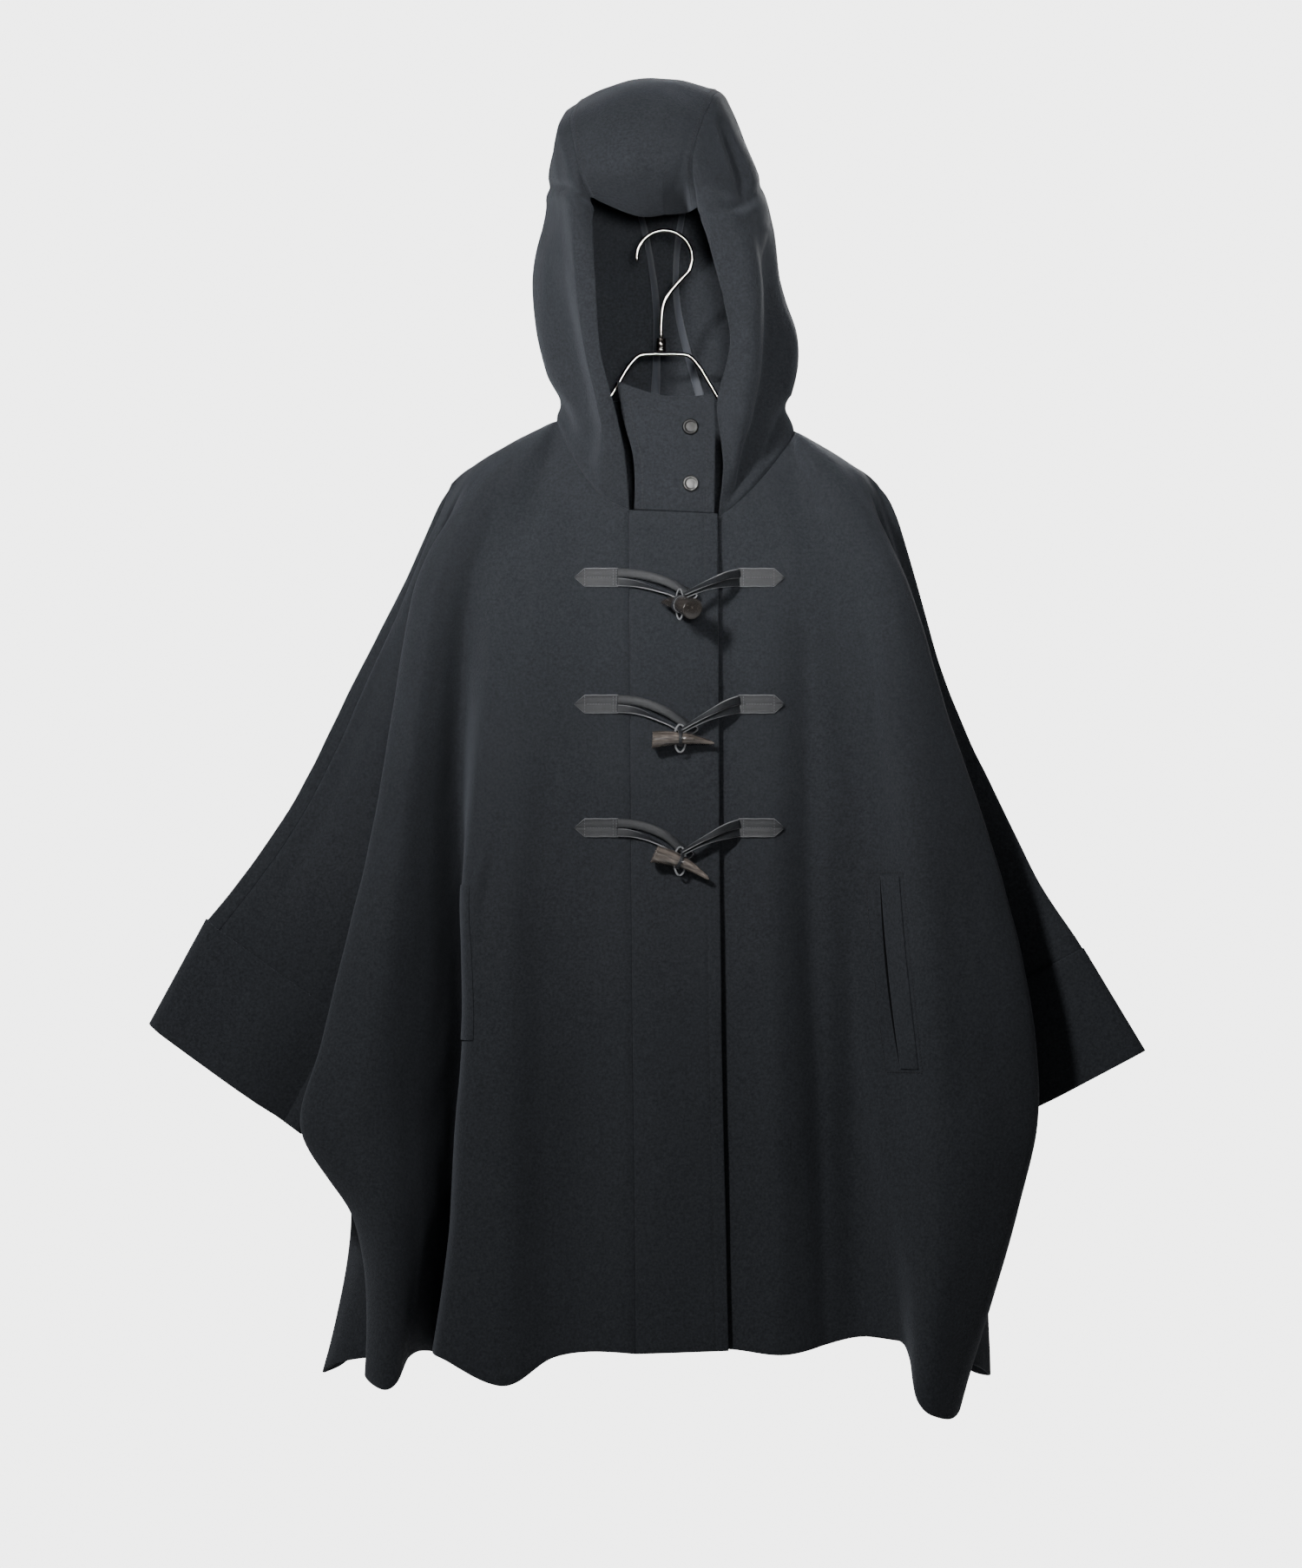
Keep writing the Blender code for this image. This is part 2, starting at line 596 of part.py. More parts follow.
def toggle_places(panel):
    """Where each horn lies, in front of the placket."""
    def ahead(x, z, out):
        return Vector((x, panel.at(x, z)[0].y - out, z))

    return (
        Toggle(ahead(26, -349, 50), ahead(-2, -342, 9), 0.42, ahead(30, -334, 6), (0, 0, 2)),
        Toggle(ahead(-11, -468, 14), ahead(46, -471, 11), 0.45, ahead(31, -456, 4.5), (0, 0, 3)),
        Toggle(ahead(-9, -572, 14), ahead(41, -595, 11), 0.45, ahead(27, -570, 4.5), (1, 0, 4)),
    )


def add_toggles(panel, leather, horn):
    for number, toggle in enumerate(toggle_places(panel), 1):
        name = f"toggle_{number}"
        height = TOGGLE_HEIGHTS[number - 1]
        axis = toggle.tip - toggle.butt
        bend = Vector(toggle.bend)
        line, radii = [], []
        for k in range(9):
            f = k / 8
            line.append(toggle.butt + axis * f + bend * math.sin(math.pi * f))
            radii.append((1.0 - 0.82 * f ** 1.35) * (0.93 if k == 0 else 1.0))
        add_tube(f"{name}_horn", line, 8.4, horn, sides=4, radii=radii)

        waist = toggle.butt + axis * toggle.waist + bend * math.sin(math.pi * toggle.waist)
        girth = 8.4 * (1.0 - 0.82 * toggle.waist ** 1.35)
        across = axis.normalized().to_track_quat("Z", "Y")
        bpy.ops.mesh.primitive_torus_add(
            major_segments=18, minor_segments=6, major_radius=(girth + 1.5) * MM,
            minor_radius=1.0 * MM, location=waist * MM, rotation=across.to_euler())
        ring = bpy.context.object
        ring.name = f"{name}_ring"
        keep(ring, leather)

        add_loop(f"{name}_loop", panel, height, toggle.loop_end, leather)
        start = panel.at(66.6, height)[0] + Vector((0, -2.3, 0))
        top = waist + Vector((1.5, -1.0, girth + 3.4))
        if number == 1:
            top = waist + Vector((3.7, 2.5, girth + 2.85))
        middle = start.lerp(top, 0.5) + Vector((0, -5.5, 0.5))
        points = smooth([start, start.lerp(middle, 0.4) + Vector((0, -1.5, 1.2)), middle, top],
                        (3, 4, 4))
        add_tube(f"{name}_cord", points, 1.5, leather)


def add_loop(name, panel, height, end, leather):
    """Two strands that leave the patch, cross the placket and turn at the toggle."""
    spread = 3.6
    ways = []
    for side in (1, -1):
        start = panel.at(-41.2, height + side * spread)[0] + Vector((0, -2.1, 0))
        near = panel.at(-26, height + side * spread)[0] + Vector((0, -3.4, -1))
        far = Vector((4, end.y - 0.5, (height + end.z) / 2 + side * spread))
        ways.append([start, near, far])
    tail = end + Vector((-5, 0.0, 0))
    points = ways[0] + [tail + Vector((0, 0, 3.2)), end, tail - Vector((0, 0, 3.2))] + ways[1][::-1]
    add_tube(name, smooth(points, (2, 3, 3, 3, 3, 3, 3, 2)), 1.4, leather)


def add_welts(front_right, front_left, normals, cloth):
    """Pocket welts: strips beside the slanted slits, made from their panel's points."""
    Course = namedtuple("Course", "slit edge z")
    courses = (Course(198, 215, -592), Course(203, 220, -654), Course(209, 226, -712),
               Course(216, 232, -768))
    panel = Panel(front_left)
    grid = [[panel.nearest_face(c.slit + (c.edge - c.slit) * f, c.z, 1.0) for f in (1.0, 0.5, 0.0)]
            for c in courses]
    welts = (
        ("pocket_welt_right", [row[6:9] for row in front_right[7:10]], normals),
        ("pocket_welt_left", grid, surface_normals([(grid, False)])),
    )
    for name, rows, facing in welts:
        wall(name, rows, facing, cloth, outside=LAID_ON + 1.8, inside=-LAID_ON, shift=0)


def add_snap(name, panel, x, z, metal):
    """The cap of a press stud: a low turned dome with a flat middle."""
    place, normal = panel.at(x, z)
    profile = ((0.0, 2.3), (4.6, 2.3), (6.6, 1.7), (7.5, 0.6), (7.5, 0.0), (0.0, 0.0))
    mesh = bmesh.new()
    verts = [mesh.verts.new((r * MM, 0, h * MM)) for r, h in profile]
    for a, b in zip(verts, verts[1:]):
        mesh.edges.new((a, b))
    cap = add_mesh(name, mesh, metal)
    cap.location = (place + normal * 0.9) * MM
    cap.rotation_euler = normal.to_track_quat("Z", "Y").to_euler()
    turn = cap.modifiers.new("turn", "SCREW")
    turn.steps = turn.render_steps = 20
    turn.use_merge_vertices = True
    turn.merge_threshold = 0.00001
    return cap


def add_bindings(strip, normals, satin):
    """Satin bindings inside the hood, one over each seam of the centre strip."""
    for name, column, way in (("hood_binding_right", 0, 1), ("hood_binding_left", -1, -1)):
        rows = []
        for row in strip[BINDING_FROM:-1]:
            seam, inward = row[column], row[column + way]
            across = (inward - seam).normalized()
            line = [seam + across * 1.0, seam + across * (1.0 + BINDING_WIDTH)]
            rows.append(line if way == 1 else line[::-1])
        local = {}
        for row, line in zip(strip[BINDING_FROM:-1], rows):
            for point in line:
                local[key(point)] = normals[key(row[column])]
        wall(name, rows, local, satin, outside=-(WALL + 1.0), inside=WALL + 1.0 + BINDING, shift=0)


# ---------------------------------------------------------------- hanger
def add_hanger(metal):
    centre = Vector((0.5, 0, WIRE - HOOK_BOW))
    bow = []
    for k in range(19):
        angle = math.radians(186 - k * 12)
        bow.append(centre + Vector((math.cos(angle), 0, math.sin(angle))) * HOOK_BOW)
    stem = smooth([bow[-1], (13, 0, -46), (0.5, 0, -64), (-2.4, 0, -82), (-2.4, 0, -97)],
                  (2, 3, 3, 2))
    add_tube("hanger_hook", bow + stem[1:], WIRE, metal)

    bpy.ops.mesh.primitive_cylinder_add(vertices=20, radius=4.4 * MM, depth=12.2 * MM,
                                        location=(-2.4 * MM, 0, -103.4 * MM))
    ferrule = bpy.context.object
    ferrule.name = "hanger_ferrule"
    keep(ferrule, metal)

    bar = -112.0
    side = [(0, 0, bar), (14, 0, bar), (23, 0, bar - 1.5), (29, 0, bar - 7), (42, 0, bar - 27),
            (52, 0, bar - 44)]
    half = smooth(side, (1, 2, 2, 3, 3))
    mirrored = [Vector((-p.x, p.y, p.z)) for p in half[:0:-1]]
    add_tube("hanger_yoke", mirrored + half, YOKE_WIRE, metal)

    for name, way in (("hanger_arm_right", -1), ("hanger_arm_left", 1)):
        line = [Vector((way * 52.4, 0, bar - 44.6)), Vector((way * 64, 0, bar - 60)),
                Vector((way * 80, 0, bar - 72))]
        for reach, spare in ((100, 9.5), (122, 5.0), (144, 0.8), (162, 0.8), (ARM_END, 0.8)):
            fall = SHOULDER_SLOPE + 2 * SHOULDER_CURVE * (reach - NECK_SIDE)
            upward = Vector((way * fall, 0, 1)).normalized()
            line.append(shoulder(way * reach) - upward * (WALL + LAID_ON + ARM + spare))
        add_tube(name, smooth(line, (1, 2, 2, 2, 2, 2, 2)), ARM, metal, sides=3)


# ---------------------------------------------------------------- the coat
def cuff_rows(rows_front, rows_back, upper, sleeve):
    """A closed ring of points at the sleeve's end, carried down along the cuff."""
    if sleeve.side < 0:
        front = rows_front[upper][-7:]
        back = rows_back[upper][:7]
        loop = front + back[1:-1]
    else:
        back = rows_back[upper][-7:]
        front = rows_front[upper][:7]
        loop = back + front[1:-1]
    centre = sum(loop, Vector()) / len(loop)
    run = Vector((sleeve.cuff_run[0], 0, sleeve.cuff_run[1]))
    underarm = front[0] if sleeve.side < 0 else back[0]
    edge = max(loop, key=lambda p: (p - underarm).length)
    along = edge - underarm
    loop = [p + along.normalized() * UNDERARM_EASE * (1 - (p - underarm).length / along.length) ** 2
            for p in loop]
    rows = []
    for k in range(4):
        far = k / 3
        ring = []
        for point in loop:
            flare = 1 + CUFF_FLARE * far
            spread = (point - centre).normalized() * 1.0
            depth = point.y * flare + math.copysign(CUFF_STEP, point.y)
            ring.append(Vector((point.x, depth, point.z)) + spread + run * (0.8 + CUFF_DEPTH * far))
        rows.append(ring)
    return rows


def build():
    for old in list(bpy.data.objects):
        bpy.data.objects.remove(old, do_unlink=True)
    bpy.context.scene.collection.children.link(bpy.data.collections.new("Coat on hanger"))

    melton = finish("melton", (0.017, 0.020, 0.028), 0.95)
    leather = finish("leather", (0.02, 0.02, 0.022), 0.45)
    horn = finish("horn", (0.10, 0.06, 0.04), 0.35)
    satin = finish("satin", (0.05, 0.06, 0.09), 0.4)
    steel = finish("brushed_steel", (0.62, 0.58, 0.53), 0.3, 1.0)
    nickel = finish("antique_nickel", (0.35, 0.34, 0.33), 0.4, 1.0)

    body = body_rows()
    placket = placket_rows(body.front_right)
    tab = tab_rows()

    n = NECK_STEPS
    right_neck = body.front_right[0][:4 * n + 1]
    back_neck_start = 1 + 1 + 2 + 2 + 3 + 1 + 2 + 2 + 2
    back_row = body.back[0][back_neck_start:]
    nape = 3 * n + 2 * STRIP_STEPS
    right_neck = right_neck + back_row[1:3 * n + 1]
    nape_row = back_row[3 * n:nape + 1]
    left_neck = back_row[nape:nape + 3 * n] + body.front_left[0][-(5 * n) - 1:-n]

    side_right = side_rows(HOOD_RIGHT, right_neck)
    side_left = side_rows(HOOD_LEFT[::-1], left_neck)
    strip = strip_rows(side_right[0], side_left[0][::-1], nape_row)

    cuff_right = cuff_rows(body.front_right, body.back, body.upper, RIGHT_SLEEVE)
    cuff_left = cuff_rows(body.front_left, body.back, body.upper, LEFT_SLEEVE)

    panels = (
        ("coat_front_right", body.front_right, False), ("coat_back", body.back, False),
        ("coat_front_left", body.front_left, False), ("front_placket", placket, False),
        ("hood_side_right", side_right, False), ("hood_side_left", side_left, False),
        ("hood_centre", strip, False),
    )
    normals = surface_normals([(rows, closed) for _, rows, closed in panels])
    layers = Panel(*(rows for _, rows, _ in panels)).tree
    pinches = [body.front_right[0][-1], body.front_left[0][0],
               body.front_right[body.upper][-7], body.front_left[body.upper][6]]
    for name, rows, closed in panels:
        wall(name, rows, normals, melton, closed=closed, layers=layers, pinches=pinches)
    for name, rows, closed in (("cuff_right", cuff_right, True), ("cuff_left", cuff_left, True),
                               ("collar_tab", tab, False)):
        wall(name, rows, surface_normals([(rows, closed)]), melton, closed=closed)

    add_bindings(strip, normals, satin)
    add_welts(body.front_right, body.front_left, normals, melton)
    face = Panel(body.front_right, placket, body.front_left)
    add_patches(face, leather)
    add_toggles(face, leather, horn)
    chin = Panel(tab)
    add_snap("snap_upper", chin, 24.0, -181.0, nickel)
    add_snap("snap_lower", chin, 24.4, -233.0, nickel)
    add_hanger(steel)


build()
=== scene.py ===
"""Looks of the hooded cape duffle coat on its wire hanger.

Lengths are millimetres until a mesh is made, which is in metres. X runs across the coat,
Y from the front (negative) to the back, Z up, and "right" is the wearer's right, at -X.
The tables of fold lines are those of the solids, lofted here in much finer steps, then
creased, given rounded edges, stitched and dressed in cloth, leather, horn and metal.
"""

import math
from collections import namedtuple

import bmesh
import bpy
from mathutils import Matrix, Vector, noise
from mathutils.bvhtree import BVHTree
from mathutils.kdtree import KDTree


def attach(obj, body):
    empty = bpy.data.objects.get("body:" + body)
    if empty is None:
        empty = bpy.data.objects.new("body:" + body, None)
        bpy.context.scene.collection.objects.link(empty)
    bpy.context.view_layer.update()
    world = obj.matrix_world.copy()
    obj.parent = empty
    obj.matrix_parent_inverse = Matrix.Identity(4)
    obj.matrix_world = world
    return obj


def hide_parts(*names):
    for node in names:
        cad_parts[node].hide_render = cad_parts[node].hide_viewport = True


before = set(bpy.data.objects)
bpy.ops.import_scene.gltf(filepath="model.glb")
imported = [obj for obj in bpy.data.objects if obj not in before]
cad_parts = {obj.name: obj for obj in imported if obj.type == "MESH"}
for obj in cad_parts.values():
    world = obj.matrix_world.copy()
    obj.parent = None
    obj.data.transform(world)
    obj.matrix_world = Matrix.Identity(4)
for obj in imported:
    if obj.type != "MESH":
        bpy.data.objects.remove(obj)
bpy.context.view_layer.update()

MM = 0.001

# ---------------------------------------------------------------- driving dimensions
WALL = 2.3              # thickness of the wool melton
EDGE_ROUND = 0.8        # radius of a cloth edge
SKIVED = 0.35           # share of the wall left where front and back meet at a point
SKIVE_REACH = 26.0      # how far from such a point the wall is thinned
LAID_ON = 0.4           # gap under a piece that lies on a panel
PATCH_HEIGHT = 1.6

WIRE = 2.0
YOKE_WIRE = 2.0
ARM = 5.0
HOOK_BOW = 25.5         # radius of the hook's bow, to the wire's centre
STEM_X = -2.4           # where the hook's stem and the ferrule stand
FERRULE_Z = -103.4
YOKE_BAR_Z = -112.0
ARM_END = 181.0         # half width of the hanger
NECK_SIDE = 100.0       # half width where the shoulder line begins
NECK_SIDE_HEIGHT = -173.0
SHOULDER_SLOPE = 0.42
SHOULDER_CURVE = 0.0015
SHOULDER_ROLL = (18.0, 6.0)     # depth and drop of the cloth where it rolls over the arm

CUFF_DEPTH = 105.0
CUFF_STEP = 2.2         # how far the cuff stands proud of the sleeve
CUFF_FLARE = 0.35
UNDERARM_EASE = 10.0    # how far the cuff's inner end stays out of the underarm's corner
SLEEVE_FRONT_SWELL = -11.0
SLEEVE_BACK_SWELL = 15.0
FOLD_ROLL = (6.0, 15.0)     # how far a side fold turns in, and how deep the turn is
LIP_TOPS = (-162, 173)      # where the right and the left turn begin on the shoulder

PLACKET_BULGE = -2.5
PLACKET_EDGE = 49.0     # where its free edge begins, and how far that runs out to the hem
PLACKET_FLARE = 10.0
PLACKET_DROP = (-3.5, 3.0)  # slant of a row across it, at its top and at the hem
TOGGLE_HEIGHTS = (-319.0, -435.0, -548.0)

LEVELS = namedtuple("Levels", "chest waist hip underarm flare thigh")(
    -300.0, -450.0, -600.0, -742.0, -820.0, -910.0)
UNDERARM = 5            # index of the underarm among a fold line's points
DETAIL_DOWN = 8         # fine rows to each of the solids' rows
DETAIL_ACROSS = 8
DETAIL_HOOD = 12
DOWN_STEPS = tuple(DETAIL_DOWN * n for n in (1, 2, 2, 2, 2, 2, 2, 2))
ROLL_ROWS = DOWN_STEPS[0]

# Depth of the plain front and back at each level and at the hem, and the share of a
# fold's swing that it has there.
FRONT_DEPTH = (-56, -66, -72, -77, -79, -81, -84)
BACK_DEPTH = (44, 52, 58, 62, 64, 66, 68)
GROWTH = (0.0, 0.35, 0.75, 1.0, 1.0, 1.0, 1.0)

Fold = namedtuple("Fold", "name top chest waist hip underarm flare thigh hem hem_z swing early")
RIGHT_FRONT = (
    Fold("placket_seam", (-32, -52, -257), -32, -31, -30, -29, -28, -27, -26, -1028, 0, 0),
    Fold("inner", (-60, -47, -242), -80, -102, -110, -110, -110, -108, -100, -1031, 0, 0),
    Fold("lobe", (-78, -38, -218), -108, -137, -145, -146, -148, -149, -145, -1056, -14, 0.1),
    Fold("crest", (-92, -22, -194), -142, -163, -177, -174, -180, -186, -203, -1031, -10, 0.1),
    Fold("neck", (-100, 0, -173), -170, -187, -186, -182, -187, -194, -209, -1031, 84, 0.1),
    Fold("slope", -115, -186, -209, -219, -223, -229, -224, -236, -1033, 20, 0.1),
    Fold("ridge", -132, -202, -228, -248, -272, -286, -258, -253, -1060, -8, 0.3),
    Fold("fold", -150, -217, -250, -278, -313, -333, -283, -274, -1048, 16, 0.9),
)
LEFT_FRONT = (
    Fold("under_edge", (-18, -44, -252), -20, -20, -20, -20, -20, -20, -20, -1023, 6.5, 1.0),
    Fold("near", (50, -46, -263), 53, 55, 57, 58, 59, 60, 60, -1024, 6.5, 1.0),
    Fold("pane", (68, -44, -250), 88, 104, 108, 110, 110, 110, 110, -1029, 2, 1.0),
    Fold("welt", (92, -34, -226), 120, 141, 147, 150, 151, 152, 153, -1020, 12, 0.3),
    Fold("valley", (110, -18, -202), 146, 166, 172, 174, 176, 176, 178, -1014, 26, 0.2),
    Fold("neck", (121, 0, -182.5), 166, 186, 197, 202, 206, 208, 218, -1018, 12, 0.2),
    Fold("ridge", 138, 188, 212, 236, 250, 256, 256, 240, -1081, -26, 0.2),
    Fold("tongue", 152, 202, 236, 272, 298, 304, 286, 258, -1086, -14, 0.3),
    Fold("fold", 164, 214, 262, 311, 339, 341, 320, 270, -1070, 18, 0.9),
)
BACK = (
    Fold("fold_r", -150, -216, -246, -272, -290, -297, -291, -317, -1053, -22, 0.7),
    Fold("ridge_r", -132, -205, -232, -254, -270, -278, -276, -302, -1048, -8, 0.4),
    Fold("slope_r", -115, -192, -216, -236, -250, -258, -262, -284, -1036, -2, 0.3),
    Fold("neck_r", (-100, 0, -173), -176, -198, -214, -228, -236, -242, -258, -1030, -6, 0.2),
    Fold("crest_r", (-84, 18, -164), -146, -170, -184, -194, -200, -204, -214, -1028, 16, 0.2),
    Fold("valley_r", (-58, 36, -156), -98, -116, -128, -136, -140, -142, -146, -1018, -22, 0.2),
    Fold("nape_r", (-11, 48, -152), -40, -50, -58, -64, -68, -70, -74, -1028, 20, 0.2),
    Fold("centre", (12, 49, -152.5), 8, 6, 4, 4, 4, 4, 4, -1020, -4, 0.2),
    Fold("nape_l", (36, 47, -153), 60, 68, 74, 78, 80, 82, 84, -1028, 22, 0.2),
    Fold("valley_l", (78, 34, -161), 106, 120, 132, 140, 144, 146, 150, -1018, -20, 0.2),
    Fold("crest_l", (104, 18, -172), 150, 170, 188, 200, 206, 210, 216, -1026, 14, 0.2),
    Fold("neck_l", (121, 0, -182.5), 176, 196, 214, 226, 232, 240, 246, -1030, -6, 0.2),
    Fold("ridge_l", 138, 190, 212, 234, 250, 258, 262, 268, -1042, -2, 0.3),
    Fold("tongue_l", 152, 202, 228, 254, 270, 276, 280, 288, -1054, -8, 0.4),
    Fold("fold_l", 164, 212, 244, 270, 285, 292, 296, 302, -1056, -22, 0.7),
)

Tuck = namedtuple("Tuck", "top chest waist hip underarm flare thigh hem")
RIGHT_TUCK_FRONT = Tuck(-174, (-211, -18), (-238, -24), (-252, -26), (-278, -4),
                        (-270, -8), (-255, -8), (-242, -8))
RIGHT_TUCK_BACK = RIGHT_TUCK_FRONT._replace(chest=(-209, 16), waist=(-233, 20), hip=(-250, 20))
LEFT_TUCK_FRONT = Tuck(181, (209, -16), (236, -22), (247, -24), (237, -4),
                       (252, -8), (262, -8), (258, -8))
LEFT_TUCK_BACK = LEFT_TUCK_FRONT._replace(chest=(206, 14), waist=(232, 18), hip=(245, 18))
SIDE_HEM_Z = -1034.0

Sleeve = namedtuple("Sleeve", "side edge seam_top seam seam_y mid_tops cuff_run")
RIGHT_SLEEVE = Sleeve(-1, ((-205, -247), (-221, -284), (-279, -398), (-351, -541), (-423, -638)),
                      -196, ((-203, -249), (-219, -288), (-271, -403), (-340, -547), (-413, -646)),
                      -8, (-182, -190), (-0.478, -0.878))
LEFT_SLEEVE = Sleeve(1, ((210, -250), (223, -288), (264, -424), (320, -546), (387, -664)),
                     197, ((207, -251), (220, -291), (257, -429), (312, -551), (379, -669)),
                     9, (187, 192), (0.515, -0.857))
SLEEVE_COLUMNS = 6 * DETAIL_ACROSS + 1
CUFF_COURSES = 24
CUFF_LAP = -5.0         # the turned cuff lies over the sleeve's end

Arch = namedtuple("Arch", "neck notch jaw cheek temple seam")
HOOD_RIGHT = (
    Arch((-32, -52, -257), (-33, -55, -238), (-38, -62, -195), (-58, -76, -110), (-63, -80, -40),
         (-66, -70, 27)),
    Arch((-60, -47, -242), (-58, -54, -228), (-58, -68, -190), (-76, -78, -105), (-82, -82, -30),
         (-77, -85, 50)),
    Arch((-78, -38, -218), (-75, -42, -204), (-74, -50, -175), (-90, -50, -95), (-98, -54, -8),
         (-86, -60, 93)),
    Arch((-92, -22, -194), (-88, -24, -178), (-96, -30, -145), (-110, -26, -75), (-107, -20, 18),
         (-82, -8, 119)),
    Arch((-100, 0, -173), (-94, 2, -154), (-107, 4, -124), (-121, 10, -52), (-105, 26, 32),
         (-70, 50, 114)),
    Arch((-84, 18, -164), (-84, 22, -148), (-98, 36, -118), (-108, 54, -55), (-86, 70, 8),
         (-38, 88, 60)),
    Arch((-58, 36, -156), (-60, 40, -146), (-70, 52, -128), (-70, 70, -98), (-48, 82, -60),
         (-14, 90, -30)),
    Arch((-11, 48, -152), (-11, 48.4, -150.8), (-11, 48.8, -149.6), (-11, 49.2, -148.4),
         (-11, 49.6, -147.2), (-11, 50, -146)),
)
HOOD_LEFT = (
    Arch((50, -46, -263), (54, -55, -218), (48.5, -65, -162), (60, -78, -100), (46, -80, -38),
         (30, -66, 18)),
    Arch((68, -44, -250), (68, -50, -234), (72, -66, -190), (82, -76, -100), (72, -84, -22),
         (26, -92, 58)),
    Arch((92, -34, -226), (88, -40, -212), (86, -50, -178), (92, -52, -90), (86, -56, 8),
         (36, -66, 98)),
    Arch((110, -18, -202), (104, -22, -188), (102, -30, -152), (97, -26, -66), (91, -22, 30),
         (50, -14, 130)),
    Arch((121, 0, -182.5), (113, 2, -163), (122, 8, -126), (112, 16, -58), (92, 26, 40),
         (54, 48, 118)),
    Arch((104, 18, -172), (102, 24, -156), (118, 38, -122), (110, 56, -68), (82, 72, 10),
         (30, 88, 62)),
    Arch((78, 34, -161), (78, 40, -150), (88, 54, -130), (82, 70, -102), (60, 82, -62),
         (14, 90, -30)),
    Arch((36, 47, -153), (36, 47.4, -151.8), (36, 47.8, -150.6), (36, 48.2, -149.4),
         (36, 48.6, -148.2), (36, 49, -147)),
)
HOOD_MIDDLE = ((-16, -62, 12), (-22, -97, 50), (-20, -78, 104), (-14, -12, 141), (-6, 56, 126),
               (-4, 96, 62), (0, 96, -30), (12, 52, -147.5))
NECK_STEPS = 2 * DETAIL_ACROSS
STRIP_STEPS = 3 * DETAIL_ACROSS
HOOD_UP_STEPS = tuple(DETAIL_HOOD * n for n in (1, 2, 2, 2, 2))

BINDING_WIDTH = 8.0
BINDING = 0.9           # thickness of the satin
BINDING_GAP = 0.35      # how far it lies inside the cloth
BINDING_ROUND = 0.35
BINDING_FROM = 54       # the strip's row where the bindings begin to show
BINDING_OVER = 0.8      # how far a binding reaches past the seam that it covers


# ---------------------------------------------------------------- shader expressions
class Wave:
    """A value or colour on its way through a material's nodes, used like a number."""

    def __init__(self, nodes, socket):
        self.nodes = nodes
        self.socket = socket

    def maths(self, operation, *values):
        return self.nodes.node("ShaderNodeMath", {"operation": operation}, *values)

    def __add__(self, other):
        return self.maths("ADD", self, other)

    def __sub__(self, other):
        return self.maths("SUBTRACT", self, other)

    def __rsub__(self, other):
        return self.maths("SUBTRACT", other, self)

    def __mul__(self, other):
        return self.maths("MULTIPLY", self, other)

    __radd__ = __add__
    __rmul__ = __mul__

    def held(self, low, high):
        return self.maths("MINIMUM", self.maths("MAXIMUM", self, low), high)


class Nodes:
    """A tree of nodes, and the one way in which a node is added to it."""

    def __init__(self, tree):
        self.tree = tree

    def node(self, kind, settings=None, *values, output=0, **named):
        """Add a node, set it up, feed it values or links, and give one output."""
        added = self.tree.nodes.new(kind)
        for setting, value in (settings or {}).items():
            if setting == "stops":
                self.set_stops(added.color_ramp, value)
            else:
                setattr(added, setting, value)
        self.feed(added, list(enumerate(values)))
        self.feed(added, [(name.replace("_", " "), value) for name, value in named.items()])
        return Wave(self, added.outputs[output])

    def feed(self, added, pairs):
        for place, value in pairs:
            if isinstance(value, Wave):
                self.tree.links.new(value.socket, added.inputs[place])
            else:
                added.inputs[place].default_value = value

    @staticmethod
    def set_stops(ramp, stops):
        while len(ramp.elements) < len(stops):
            ramp.elements.new(0.5)
        for element, (position, colour) in zip(ramp.elements, stops):
            element.position = position
            element.color = (*colour, 1.0)

    def blend(self, factor, first, second):
        """Mix of two colours."""
        first, second = [c if isinstance(c, Wave) else (*c, 1.0) for c in (first, second)]
        mixed = self.node("ShaderNodeMix", {"data_type": "RGBA"}, factor, output=2)
        self.feed(mixed.socket.node, ((6, first), (7, second)))
        return mixed


class Finish(Nodes):
    """One material: its shader's own sockets, and the nodes that vary them."""

    def __init__(self, name, colour, roughness, **sockets):
        self.material = bpy.data.materials.new(name)
        self.material.use_nodes = True
        super().__init__(self.material.node_tree)
        self.shader = self.tree.nodes["Principled BSDF"]
        self.set(base_color=(*colour, 1.0), roughness=roughness, **sockets)

    def shader_input(self, name):
        return self.shader.inputs[name.replace("_", " ").title().replace("Ior", "IOR")]

    def set(self, **sockets):
        for name, value in sockets.items():
            self.shader_input(name).default_value = value

    def vary(self, **waves):
        for name, wave in waves.items():
            self.tree.links.new(wave.socket, self.shader_input(name))

    def place(self):
        return self.node("ShaderNodeTexCoord", output="Object")

    def stretched(self, scale):
        return self.node("ShaderNodeMapping", None, Vector=self.place(), Scale=scale)

    def speckle(self, scale, detail=2.0, roughness=0.5, where=None):
        return self.node("ShaderNodeTexNoise", None, Vector=where or self.place(), Scale=scale,
                         Detail=detail, Roughness=roughness)

    def relief(self, height, depth_mm, strength=1.0):
        """Bump from a height of 0 to 1 that stands depth_mm deep."""
        bump = self.node("ShaderNodeBump", None, Strength=strength, Distance=depth_mm * MM,
                         Height=height)
        self.vary(normal=bump)


